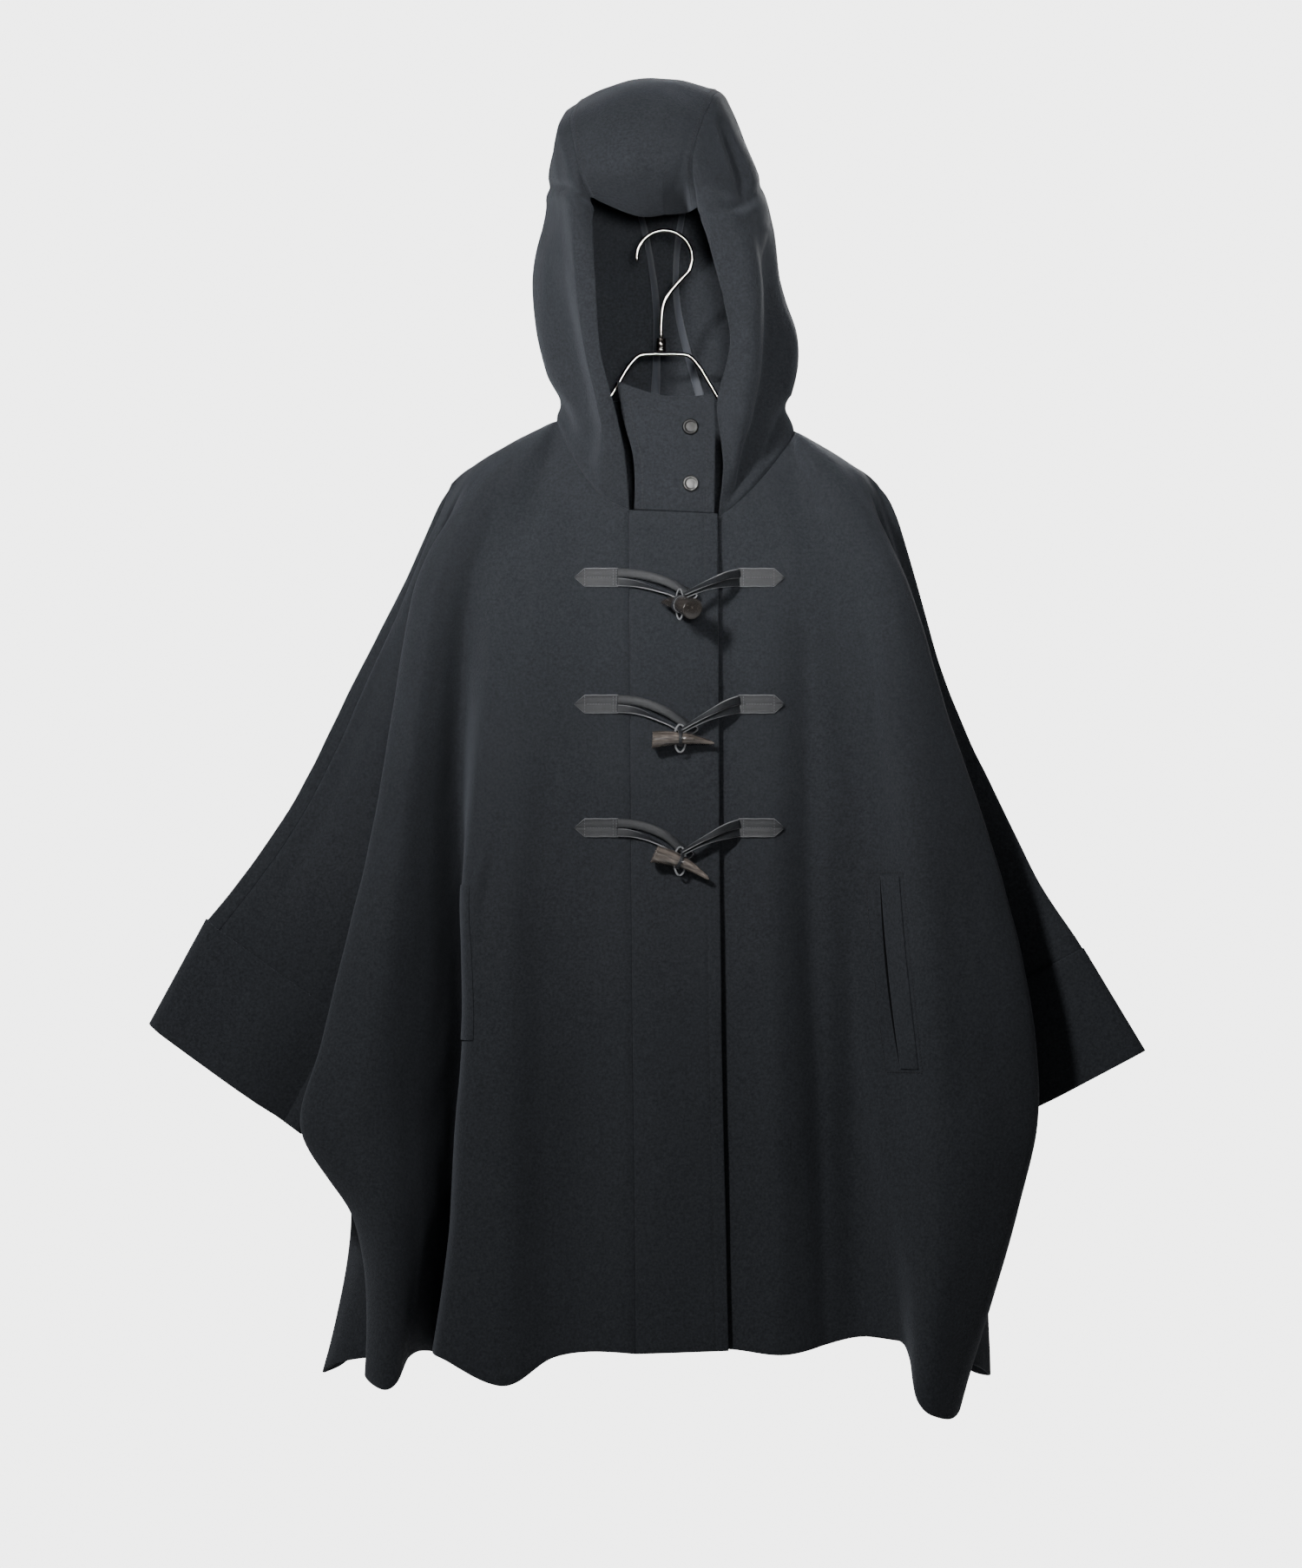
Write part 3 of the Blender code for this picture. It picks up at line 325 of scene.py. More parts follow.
def melton_finish():
    """Dense, brushed wool with a faint mottle and a short nap."""
    cloth = Finish("wool melton", (0.012, 0.0135, 0.0165), 0.95, sheen_weight=0.08,
                   sheen_roughness=0.5, sheen_tint=(0.6, 0.65, 0.75, 1.0),
                   specular_ior_level=0.1)
    mottle = cloth.speckle(420.0, 3.0, 0.65)
    drift = cloth.speckle(9.0, 3.0, 0.6)
    nap = cloth.speckle(1.0, 4.0, 0.7, cloth.stretched((1500.0, 1500.0, 620.0)))
    tone = (mottle * 2.2 - 0.6).held(0.0, 1.0) * 0.6 + nap * 0.2 + drift * 0.2
    cloth.vary(base_color=cloth.blend(tone, (0.0034, 0.0040, 0.0049), (0.0196, 0.0214, 0.0248)),
               roughness=(nap * 0.15 + 0.84))
    cloth.relief(mottle * 0.5 + nap * 0.5, 1.0)
    return cloth.material


def leather_finish(name, dark, worn, roughness):
    """Strap leather, lightly glazed, with a fine pebble grain and worn places."""
    hide = Finish(name, dark, roughness, coat_weight=0.02, coat_roughness=0.4,
                  specular_ior_level=0.24)
    pebbles = hide.node("ShaderNodeTexVoronoi", {"feature": "DISTANCE_TO_EDGE"},
                        Vector=hide.place(), Scale=950.0)
    wear = hide.speckle(260.0, 4.0, 0.6)
    hide.vary(base_color=hide.blend((wear * 2.2 - 0.8).held(0.0, 1.0), dark, worn),
              roughness=wear * 0.25 + (roughness - 0.1))
    hide.relief((pebbles * 3.0).held(0.0, 1.0), 0.18, 0.7)
    return hide.material


def horn_finish(name, along, shade):
    """Polished dark horn with paler streaks along its length."""
    horn = Finish(name, (0.03, 0.026, 0.023), 0.22, coat_weight=0.4, coat_roughness=0.12)
    turn = along.normalized().to_track_quat("Z", "Y").inverted().to_euler()
    laid = horn.node("ShaderNodeMapping", {"vector_type": "POINT"}, Vector=horn.place(),
                     Rotation=tuple(turn))
    laid = horn.node("ShaderNodeMapping", None, Vector=laid, Scale=(420.0, 420.0, 38.0))
    streaks = horn.speckle(1.0, 5.0, 0.62, laid)
    clouds = horn.speckle(70.0, 2.0, 0.5)
    tone = (streaks * 1.9 - 0.62).held(0.0, 1.0) * (clouds * 1.4 - 0.1).held(0.0, 1.0)
    # Each toggle gets its own copy of these colours, scaled darker for the top horn and brighter
    # for the lower ones: painted shade and painted light.
    colours = horn.node("ShaderNodeValToRGB", {"stops": (
        (0.0, [c * shade for c in (0.014, 0.012, 0.0105)]),
        (0.3, [c * shade for c in (0.046, 0.039, 0.034)]),
        (0.62, [c * shade for c in (0.12, 0.102, 0.088)]),
        (1.0, [c * shade for c in (0.27, 0.225, 0.18)]))}, tone)
    horn.vary(base_color=colours, roughness=streaks * 0.2 + 0.14)
    horn.relief(streaks, 0.12, 0.6)
    return horn.material


def satin_finish():
    """Dark satin with fine, close threads."""
    satin = Finish("satin binding", (0.02, 0.023, 0.029), 0.55, sheen_weight=0.2,
                   specular_ior_level=0.22)
    threads = satin.node("ShaderNodeTexWave", {"wave_type": "BANDS", "bands_direction": "Z"},
                         Vector=satin.place(), Scale=420.0, Distortion=0.6)
    satin.vary(base_color=satin.blend(threads, (0.013, 0.015, 0.019), (0.026, 0.029, 0.036)))
    satin.relief(threads, 0.12, 0.6)
    return satin.material


def metal_finish(name, dark, bright, roughness, grain):
    """Worn metal, duller in patches and finely scratched."""
    metal = Finish(name, bright, roughness, metallic=1.0)
    wear = metal.speckle(grain, 4.0, 0.6)
    fine = metal.speckle(grain * 9.0, 2.0, 0.5)
    metal.vary(base_color=metal.blend((wear * 1.8 - 0.4).held(0.0, 1.0), dark, bright),
               roughness=wear * 0.18 + (roughness - 0.08))
    metal.relief(fine, 0.03, 0.5)
    return metal.material


def thread_finish(name, colour):
    """Sewing thread, with the light and dark of its twist."""
    thread = Finish(name, colour, 0.75, sheen_weight=0.05, specular_ior_level=0.15)
    twist = thread.speckle(2600.0, 2.0)
    thread.vary(base_color=thread.blend(twist, [c * 0.7 for c in colour],
                                        [c * 1.35 for c in colour]))
    return thread.material


def slit_shadow_finish():
    """Near-black twill laid along the pocket's slit: painted shadow of its opening."""
    twill = Finish("pocket lining", (0.0012, 0.0013, 0.0016), 0.9, specular_ior_level=0.05)
    ribs = twill.node("ShaderNodeTexWave", {"wave_type": "BANDS", "bands_direction": "DIAGONAL"},
                      Vector=twill.place(), Scale=380.0, Distortion=0.4)
    twill.vary(base_color=twill.blend(ribs, (0.0008, 0.0009, 0.0011), (0.0022, 0.0024, 0.0028)))
    return twill.material


def floor_finish():
    """A pale matt floor, well below the hem."""
    floor = Finish("pale floor", (0.80, 0.80, 0.79), 0.8)
    drift = floor.speckle(1.6, 3.0)
    floor.vary(base_color=floor.blend(drift, (0.77, 0.77, 0.765), (0.83, 0.83, 0.82)))
    return floor.material


# ---------------------------------------------------------------- smooth lines
def smooth(points, steps, corners=()):
    """Points along a smooth line through the given ones, with steps[i] steps in span i."""
    points = [Vector(p) for p in points]
    last = len(points) - 1
    spans = [max((b - a).length, 1e-6) for a, b in zip(points, points[1:])]
    slopes = [(b - a) / s for a, b, s in zip(points, points[1:], spans)]
    ends = {0, last} | set(corners)

    def slope_at(i):
        before, after = spans[i - 1], spans[i]
        return (slopes[i - 1] * after + slopes[i] * before) / (before + after)

    line = [points[0]]
    for i, (span, slope) in enumerate(zip(spans, slopes)):
        start = slope if i in ends else slope_at(i)
        stop = slope if i + 1 in ends else slope_at(i + 1)
        if i in ends:
            start = slope * 1.5 - stop * 0.5
        if i + 1 in ends:
            stop = slope * 1.5 - start * 0.5
        for k in range(1, steps[i] + 1):
            f = k / steps[i]
            g = 1.0 - f
            line.append(points[i] * (g * g * (1 + 2 * f)) + points[i + 1] * (f * f * (1 + 2 * g))
                        + (start * g - stop * f) * (f * g * span))
    return line


def eased(f):
    """0 to 1 with a soft start and stop."""
    f = min(1.0, max(0.0, f))
    return f * f * (3 - 2 * f)


def shoulder(x):
    """A point of the shoulder seam, which drops ever faster away from the neck."""
    reach = abs(x) - NECK_SIDE
    return Vector((x, 0, NECK_SIDE_HEIGHT - SHOULDER_SLOPE * reach - SHOULDER_CURVE * reach ** 2))


# ---------------------------------------------------------------- fold lines of the body
def roll_point(top, chest, facing):
    """The second point of a fold line: over the arm, or down from the neck."""
    if top.y == 0:
        depth, drop = SHOULDER_ROLL
        x = top.x + (chest.x - top.x) * 0.12
        return Vector((x, facing * depth, shoulder(x).z - drop))
    return top.lerp(chest, 0.25)


def body_line(fold, depths, facing):
    """One fold line from the shoulder or the neck down to the hem."""
    top = shoulder(fold.top) if isinstance(fold.top, (int, float)) else Vector(fold.top)
    points = []
    for x, z, depth, growth in zip(fold[2:9], LEVELS + (fold.hem_z,), depths, GROWTH):
        share = fold.early + (1 - fold.early) * growth
        points.append(Vector((x, depth + fold.swing * share, z)))
    return [top, roll_point(top, points[0], facing)] + points


def lip_line(line, top_x, facing, side):
    """The turned-in edge that runs behind a side's outermost fold."""
    turn, deep = FOLD_ROLL
    points = [p + Vector((-side * turn, -facing * deep, 0)) for p in line]
    points[0] = shoulder(top_x)
    points[1] = roll_point(points[0], line[2], facing)
    points[2] = line[2] + Vector((-side * 2, -facing * 8, 0))
    points[-1].z += 6
    return points


def tuck_line(tuck, facing):
    """The line along which front and back meet at the side."""
    top = shoulder(tuck.top)
    points = [Vector((x, y, z)) for (x, y), z in zip(tuck[1:], LEVELS + (SIDE_HEM_Z,))]
    roll = roll_point(top, points[0], facing)
    roll.y *= 0.9
    return [top, roll] + points


def sleeve_lines(sleeve):
    """The overarm seam, the sleeve's edge, and a maker of the lines up to a tuck."""
    seam = [shoulder(sleeve.seam_top)]
    edge = [shoulder(sleeve.mid_tops[-1]).lerp(seam[0], 0.5)]
    for k, ((x, z), (ex, ez)) in enumerate(zip(sleeve.seam, sleeve.edge)):
        seam.append(Vector((x, sleeve.seam_y * (0.4 if k == 0 else 1.0), z)))
        edge.append(Vector((ex, -sleeve.seam_y * 0.2, ez)))

    def between(tuck_points, swell):
        lines = []
        for n, top_x in enumerate(sleeve.mid_tops):
            share = (n + 1) / 3
            line = [shoulder(top_x)]
            for k in range(1, UNDERARM + 1):
                point = tuck_points[k].lerp(seam[k], share)
                point.y += swell * math.sin(math.pi * share) * (0.35 if k == 1 else 0.8 + 0.05 * k)
                line.append(point)
            lines.append(line)
        return lines

    return seam, edge, between


def loft(lines, first_body, last_body, steps, corners, tucks):
    """Rows of points across fold lines; only body lines go on below the underarm."""
    columns = []
    for index, line in enumerate(lines):
        breaks = (UNDERARM,) if index in tucks else ()
        columns.append(smooth(line, DOWN_STEPS[:len(line) - 1], breaks))
    upper = sum(DOWN_STEPS[:UNDERARM])
    missing_before = sum(steps[:first_body])
    missing_after = sum(steps[last_body:])
    rows = []
    for i in range(sum(DOWN_STEPS) + 1):
        if i <= upper:
            across = [column[i] for column in columns]
            row = smooth(across, steps)
            if i < ROLL_ROWS:
                cornered = smooth(across, steps, corners)
                row = [a.lerp(b, i / ROLL_ROWS) for a, b in zip(cornered, row)]
            rows.append(row)
        else:
            across = [column[i] for column in columns[first_body:last_body + 1]]
            row = smooth(across, steps[first_body:last_body])
            rows.append([None] * missing_before + row + [None] * missing_after)
    lay_on_shoulder(rows[0], lines, steps)
    return rows


def lay_on_shoulder(row, lines, steps):
    """Put a top row's points onto the shoulder seam itself."""
    start = 0
    for line, following, count in zip(lines, lines[1:], steps):
        a, b = line[0], following[0]
        if a.y == 0 and b.y == 0:
            for k in range(count + 1):
                row[start + k] = shoulder(a.x + (b.x - a.x) * k / count)
        start += count


Body = namedtuple("Body", "front_right back front_left upper")


def body_rows():
    """The grids of both fronts and the back, joined along the shoulders and sleeves."""
    upper = sum(DOWN_STEPS[:UNDERARM])
    front_r = [body_line(fold, FRONT_DEPTH, -1) for fold in RIGHT_FRONT]
    front_l = [body_line(fold, FRONT_DEPTH, -1) for fold in LEFT_FRONT]
    back = [body_line(fold, BACK_DEPTH, 1) for fold in BACK]

    tuck_fr, tuck_br = tuck_line(RIGHT_TUCK_FRONT, -1), tuck_line(RIGHT_TUCK_BACK, 1)
    tuck_fl, tuck_bl = tuck_line(LEFT_TUCK_FRONT, -1), tuck_line(LEFT_TUCK_BACK, 1)
    seam_r, edge_r, between_r = sleeve_lines(RIGHT_SLEEVE)
    seam_l, edge_l, between_l = sleeve_lines(LEFT_SLEEVE)

    right_top, left_top = LIP_TOPS
    lip_fr = lip_line(front_r[-1], right_top, -1, -1)
    lip_fl = lip_line(front_l[-1], left_top, -1, 1)
    lip_br = lip_line(back[0], right_top, 1, -1)
    lip_bl = lip_line(back[-1], left_top, 1, 1)

    n, one = NECK_STEPS, DETAIL_ACROSS
    sleeve_seam_side = [3 * one, 2 * one, 2 * one, 2 * one]
    lines = front_r + [lip_fr, tuck_fr] + between_r(tuck_fr, SLEEVE_FRONT_SWELL) + [seam_r]
    steps = [n, n, n, n, 2 * one, 2 * one, 2 * one, one] + sleeve_seam_side
    rows_fr = loft(lines, 0, 9, steps, (4,), (9,))

    sleeve_edge_side = [one, one, 2 * one, 2 * one, 3 * one, one, 2 * one, 2 * one, 2 * one]
    lines = ([seam_r, edge_r] + between_r(tuck_br, SLEEVE_BACK_SWELL)[::-1] + [tuck_br, lip_br]
             + back + [lip_bl, tuck_bl] + between_l(tuck_bl, SLEEVE_BACK_SWELL) + [seam_l])
    steps = (sleeve_edge_side + [n, n, n, STRIP_STEPS, STRIP_STEPS, n, n, n]
             + [2 * one, 2 * one, 2 * one, one] + sleeve_seam_side)
    rows_b = loft(lines, 4, 22, steps, (9, 17), (4, 22))

    lines = ([seam_l, edge_l] + between_l(tuck_fl, SLEEVE_FRONT_SWELL)[::-1] + [tuck_fl, lip_fl]
             + front_l[::-1])
    steps = sleeve_edge_side + [n, n, n, n, n]
    rows_fl = loft(lines, 4, 14, steps, (9,), (4,))
    return Body(rows_fr, rows_b, rows_fl, upper)


PLACKET_SHARES = (0.0, 0.025, 0.12, 0.25, 0.4, 0.55, 0.7, 0.8, 0.838, 0.85, 0.862, 0.9, 0.975, 1.0)
PLACKET_STITCH_SHARE = 0.85     # where its topstitching runs, as a share of its width
PLACKET_STITCH = PLACKET_SHARES.index(PLACKET_STITCH_SHARE)


def placket_rows(front_right):
    """The band over the opening, with a fine groove under its topstitching."""
    rows = []
    count = len(front_right) - 1
    top_drop, hem_drop = PLACKET_DROP
    for i, row in enumerate(front_right):
        seam = row[0]
        share = i / count
        right = PLACKET_EDGE + PLACKET_FLARE * share ** 2
        drop = top_drop * (1 - share) + hem_drop * share
        line = []
        for k in PLACKET_SHARES:
            x = seam.x + (right - seam.x) * k
            bulge = min(1.0, k / 0.42) if k < 0.75 else 1.0 - 0.4 * ((k - 0.75) / 0.25) ** 2
            groove = 0.5 if k == PLACKET_STITCH_SHARE else 0.0
            line.append(Vector((x, seam.y + PLACKET_BULGE * eased(bulge) + groove,
                                seam.z + drop * k)))
        rows.append(line[::-1])
    return rows


TAB_SHARES = (0.0, 0.03, 0.07, 0.1, 0.14, 0.3, 0.5, 0.7, 0.86, 0.9, 0.93, 0.97, 1.0)
TAB_STITCH_SHARES = (0.1, 0.9)
TAB_ROLL_ROWS = 6       # rows above the line where the tab's top rolls back
TabCourse = namedtuple("TabCourse", "left left_z right right_z depth")
TAB_COURSES = (
    TabCourse(-43, -138, 45, -150, -43),
    TabCourse(-41, -153, 46.5, -167, -49.5),
    TabCourse(-38, -172, 47, -186, -50.5),
    TabCourse(-29, -205, 46.5, -218, -53),
    TabCourse(-27.5, -256.5, 46, -260, -54),
)


def tab_rows():
    """The chin stand: a flat tab that rises from the placket's top."""
    columns = []
    for f in TAB_SHARES:
        points = []
        for c in TAB_COURSES:
            sag = -8.0 * math.sin(math.pi * f) if c in TAB_COURSES[:2] else 0.0
            groove = 0.4 if f in TAB_STITCH_SHARES else 0.0
            points.append(Vector((c.left + (c.right - c.left) * f,
                                  c.depth - 2.0 * math.sin(math.pi * f) + groove,
                                  c.left_z + (c.right_z - c.left_z) * f + sag)))
        columns.append(smooth(points, (TAB_ROLL_ROWS, 6, 8, 8)))
    for column in columns[1:-1]:
        column[TAB_ROLL_ROWS].y += 1.0
    return [list(row)[::-1] for row in zip(*columns)]


# ---------------------------------------------------------------- hood
def side_rows(arches, neck_row):
    """A hood side's rows, from the seam with the centre strip down to the neck."""
    steps = [NECK_STEPS] * (len(arches) - 1)
    courses = []
    for field in ("seam", "temple", "cheek", "jaw", "notch", "neck"):
        courses.append(smooth([getattr(arch, field) for arch in arches], steps))
    columns = [smooth(points, HOOD_UP_STEPS[::-1]) for points in zip(*courses)]
    rows = [list(row) for row in zip(*columns)]
    ease_to_neck(rows, neck_row)
    return rows


def ease_to_neck(rows, neck_row):
    """Bring the lowest rows onto the neck seam's own points."""
    last = HOOD_UP_STEPS[0]
    shifts = [end - point for end, point in zip(neck_row, rows[-1])]
    for back in range(last):
        row = rows[-1 - back]
        share = 1 - back / last
        rows[-1 - back] = [point + shift * share for point, shift in zip(row, shifts)]
    rows[-1] = list(neck_row)


def strip_rows(right, left, neck_row):
    """The centre strip's rows, between the two sides' upper edges."""
    middle = smooth(HOOD_MIDDLE, [NECK_STEPS] * (len(HOOD_MIDDLE) - 1))
    rows = [smooth(points, (STRIP_STEPS, STRIP_STEPS)) for points in zip(right, middle, left)]
    rows.append(list(neck_row))
    return rows


def cuff_rows(rows_front, rows_back, upper, sleeve):
    """A closed ring of points at the sleeve's end, carried down along the cuff."""
    if sleeve.side < 0:
        front = rows_front[upper][-SLEEVE_COLUMNS:]
        back = rows_back[upper][:SLEEVE_COLUMNS]
        loop = front + back[1:-1]
    else:
        back = rows_back[upper][-SLEEVE_COLUMNS:]
        front = rows_front[upper][:SLEEVE_COLUMNS]
        loop = back + front[1:-1]
    centre = sum(loop, Vector()) / len(loop)
    run = Vector((sleeve.cuff_run[0], 0, sleeve.cuff_run[1]))
    underarm = front[0] if sleeve.side < 0 else back[0]
    edge = max(loop, key=lambda p: (p - underarm).length)
    along = edge - underarm
    loop = [p + along.normalized() * UNDERARM_EASE * (1 - (p - underarm).length / along.length) ** 2
            for p in loop]
    rows = []
    for k in range(CUFF_COURSES + 1):
        far = k / CUFF_COURSES
        ring = []
        for point in loop:
            spread = (point - centre).normalized()
            side = max(-1.0, min(1.0, point.y / 3.0))
            depth = point.y * (1 + CUFF_FLARE * far) + CUFF_STEP * side
            ring.append(Vector((point.x, depth, point.z)) + spread
                        + run * (CUFF_LAP + (CUFF_DEPTH + 0.8 - CUFF_LAP) * far))
        rows.append(ring)
    return rows


# ---------------------------------------------------------------- cloth
def cells(rows, closed=False):
    """Places of the corners of each quad of a grid, in outward order."""
    found = []
    width = len(rows[0])
    for i in range(len(rows) - 1):
        for j in range(width if closed else width - 1):
            k = (j + 1) % width
            quad = ((i, j), (i, k), (i + 1, k), (i + 1, j))
            if all(rows[a][b] is not None for a, b in quad):
                found.append(quad)
    return found


def key(point):
    return (round(point.x * 50), round(point.y * 50), round(point.z * 50))


def surface_normals(grids):
    """Normals at every point of the grids, shared wherever panels meet."""
    sums = {}
    for rows, closed in grids:
        for quad in cells(rows, closed):
            corners = [rows[i][j] for i, j in quad]
            normal = (corners[2] - corners[0]).cross(corners[3] - corners[1]).normalized()
            for n, point in enumerate(corners):
                back, ahead = corners[n - 1] - point, corners[(n + 1) % 4] - point
                place = key(point)
                sums[place] = sums.get(place, Vector()) + normal * back.angle(ahead, 0.0)
    return {place: total.normalized() for place, total in sums.items()}


HOOD_BACK = 60.0        # the hood's creases are on its front: they end at this depth
HOOD_BACK_FADE = 30.0


class Crease:
    """A soft ridge (or, with a height below 0, a furrow) along a path of (x, z) points.

    Two widths are those to the left (lower x) and to the right of the path. It lifts the
    cloth along its normals, or along a fixed way.
    """

    def __init__(self, width, height, *path, way=None):
        self.way = way
        self.widths = width if isinstance(width, tuple) else (width, width)
        self.height = height
        self.path = smooth([(x, z, 0) for x, z in path], [4] * (len(path) - 1))
        margin = 2.4 * max(self.widths)
        self.low = Vector((min(p.x for p in self.path), min(p.y for p in self.path), 0))
        self.high = Vector((max(p.x for p in self.path), max(p.y for p in self.path), 0))
        self.low -= Vector((margin, margin, 0))
        self.high += Vector((margin, margin, 0))

    def at(self, point, on_hood):
        x, z = point.x, point.z
        if not (self.low.x < x < self.high.x and self.low.y < z < self.high.y):
            return 0.0
        nearest, share, width = 1e9, 0.0, self.widths[0]
        count = len(self.path) - 1
        for n in range(count):
            a, b = self.path[n], self.path[n + 1]
            dx, dz = b.x - a.x, b.y - a.y
            f = ((x - a.x) * dx + (z - a.y) * dz) / (dx * dx + dz * dz)
            f = min(1.0, max(0.0, f))
            gap = math.hypot(x - a.x - f * dx, z - a.y - f * dz)
            if gap < nearest:
                nearest, share = gap, (n + f) / count
                width = self.widths[x > a.x + f * dx]
        fade = math.sin(math.pi * min(1.0, max(0.0, share))) ** 0.6
        if on_hood:
            fade *= eased((HOOD_BACK - point.y) / HOOD_BACK_FADE)
        return self.height * fade * math.exp(-abs(nearest / width) ** 1.7)


def undulation(point):
    """The low, long waves of heavy cloth, closer together on the hood."""
    hood = eased((point.z + 240) / 90)
    wide = 62.0 - 26.0 * hood
    tall = 150.0 - 95.0 * hood
    slow = noise.noise(Vector((point.x / wide, point.y / wide, point.z / tall)))
    quick = noise.noise(Vector((point.x / 19.0, point.y / 19.0, point.z / 42.0 + 7.0)))
    return slow * 2.4 + quick * 0.55


def creased(panels, creases, pinches):
    """The panels' grids with every point moved along the normals that they share.

    Nothing moves at a pinch, where front and back meet. The first two are the shoulder's
    tips, which are eased down.
    """
    normals = surface_normals([(rows, closed) for _, rows, closed in panels])
    uses = {}
    for name, rows, closed in panels:
        for point in {key(p): p for row in rows for p in row if p is not None}.values():
            uses.setdefault(key(point), []).append(point)
    shared = [points[0] for points in uses.values() if len(points) > 1]
    seams = KDTree(max(1, len(shared)))
    for n, point in enumerate(shared):
        seams.insert(point, n)
    seams.balance()
    result = []
    for name, rows, closed in panels:
        on_hood = name.startswith("hood")
        quiet = SEAM_CALM if name.startswith("coat") else HOOD_SEAM_CALM
        moved = []
        for row in rows:
            line = []
            for point in row:
                if point is None:
                    line.append(None)
                    continue
                gap = seams.find(point)[2]
                calm = eased(gap / quiet)
                normal = normals[key(point)]
                lift = normal * (undulation(point) - SEAM_DIP * math.exp(-(gap / 3.0) ** 2))
                for crease in creases.get(name, ()):
                    height = crease.at(point, on_hood)
                    if height:
                        lift += (crease.way or normal) * height * calm
                near = min((point - pinch).length for pinch in pinches)
                moved_to = point + lift * eased(near / SKIVE_REACH - 0.3)
                for tip in pinches[:2]:
                    close = max(0.0, 1 - (point - tip).length / TIP_ROUNDING)
                    moved_to += Vector((0, 0, -TIP_DROP)) * close ** 2
                line.append(moved_to)
            moved.append(line)
        result.append((name, moved, closed))
    return result


def scene_object(name, data, spot=(0, 0, 0)):
    """An object that shows the data, linked into the scene."""
    thing = bpy.data.objects.new(name, data)
    thing.location = spot
    bpy.context.scene.collection.objects.link(thing)
    return thing


def add_piece(name, points, faces, material, replaces=(), slot=None):
    """A mesh piece from points in millimetres, riding on the coat's one body."""
    data = bpy.data.meshes.new(name)
    data.from_pydata([p * MM for p in points], [], faces)
    data.validate()
    piece = scene_object(name, data)
    data.materials.append(material)
    data.shade_smooth()
    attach(piece, "root")
    if replaces:
        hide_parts(*replaces)
    return piece


def shell(name, rows, normals, material, closed=False, outside=0.0, depth=WALL,
          rounding=EDGE_ROUND, layers=None, pinches=(), replaces=(), slot="melton"):
    """Cloth with both its faces and a rounded edge, on a grid of its outer face's points."""
    quads = cells(rows, closed)
    sides, around = set(), {}
    for quad in quads:
        centre = sum((rows[i][j] for i, j in quad), Vector()) / 4
        for a, b in zip(quad, quad[1:] + quad[:1]):
            sides.add((a, b))
            around.setdefault(a, []).append(centre)
    border = [(a, b) for a, b in sides if (b, a) not in sides]
    on_border = {a for a, _ in border} | {b for _, b in border}

    points, faces, chain = [], [], {}
    for place, centres in around.items():
        point = rows[place[0]][place[1]]
        normal = normals[key(point)]
        deep = depth
        if layers:
            gap = layers.ray_cast(point - normal * 0.1, -normal, 2 * depth + 1.0)[3]
            if gap is not None:
                deep = max(0.4, min(depth, gap / 2 - 0.3))
            near = min((point - pinch).length for pinch in pinches)
            deep = min(deep, depth * min(1.0, SKIVED + (1 - SKIVED) * near / SKIVE_REACH))
        stations = ((0.0, outside), (0.0, -deep))
        inward = Vector()
        if place in on_border:
            inward = sum(centres, Vector()) / len(centres) - point
            inward = (inward - normal * inward.dot(normal)).normalized()
            r = min(rounding, (deep + outside) * 0.45)
            stations = ((r, outside), (r * 0.3, outside - r * 0.3), (0.0, outside - r),
                        (0.0, r - deep), (r * 0.3, r * 0.3 - deep), (r, -deep))
        chain[place] = list(range(len(points), len(points) + len(stations)))
        points += [point + inward * back + normal * up for back, up in stations]
    for quad in quads:
        faces.append([chain[p][0] for p in quad])
        faces.append([chain[p][-1] for p in reversed(quad)])
    for a, b in border:
        ours, theirs = chain[a], chain[b]
        for k in range(len(ours) - 1):
            faces.append((theirs[k], ours[k], ours[k + 1], theirs[k + 1]))
    return add_piece(name, points, faces, material, replaces, slot)


def declare_sheet(rows, closed):
    """Measure a panel's cut, its longest row and column and its face's area, and keep none of them.
    """
    def lengths(lines):
        found = []
        for line in lines:
            line = [p for p in line if p is not None]
            if closed and lines is rows:
                line.append(line[0])
            found.append(sum((b - a).length for a, b in zip(line, line[1:])))
        return max(found)

    width = lengths(rows) * MM
    length = lengths(list(zip(*rows))) * MM
    area = 0.0
    for quad in cells(rows, closed):
        a, b, c, d = (rows[i][j] for i, j in quad)
        area += ((b - a).cross(c - a).length + (c - a).cross(d - a).length) / 2
    area *= MM * MM


# ---------------------------------------------------------------- what lies on the cloth
class Face:
    """The outer face of one or more panels, as met by a line along Y from the front."""

    def __init__(self, *grids):
        points, faces = [], []
        for rows in grids:
            start = {}
            for quad in cells(rows):
                for place in quad:
                    if place not in start:
                        start[place] = len(points)
                        points.append(rows[place[0]][place[1]])
                faces.append([start[place] for place in quad])
        self.tree = BVHTree.FromPolygons(points, faces)

    def at(self, x, z):
        point, normal, _, _ = self.tree.ray_cast(Vector((x, -300, z)), Vector((0, 1, 0)))
        return point, normal if normal.y < 0 else -normal

    def front(self, x, z, reach=3.0):
        """Point at (x, z), as far forward as the panel comes near it."""
        steps = (-reach, 0.0, reach)
        return Vector((x, min(self.at(x + a, z + b)[0].y for a in steps for b in steps), z))


def rings_faces(count, sides, start=0):
    """Faces of a capped loft through rings of points numbered one after another."""
    faces = []
    for i in range(count - 1):
        for j in range(sides):
            k = (j + 1) % sides
            a, b = start + i * sides, start + (i + 1) * sides
            faces.append((a + j, a + k, b + k, b + j))
    faces.append(list(range(start + sides - 1, start - 1, -1)))
    last = start + (count - 1) * sides
    faces.append(list(range(last, last + sides)))
    return faces


def add_rings(name, rings, material, **kwargs):
    points = [p for ring in rings for p in ring]
    return add_piece(name, points, rings_faces(len(rings), len(rings[0])), material, **kwargs)


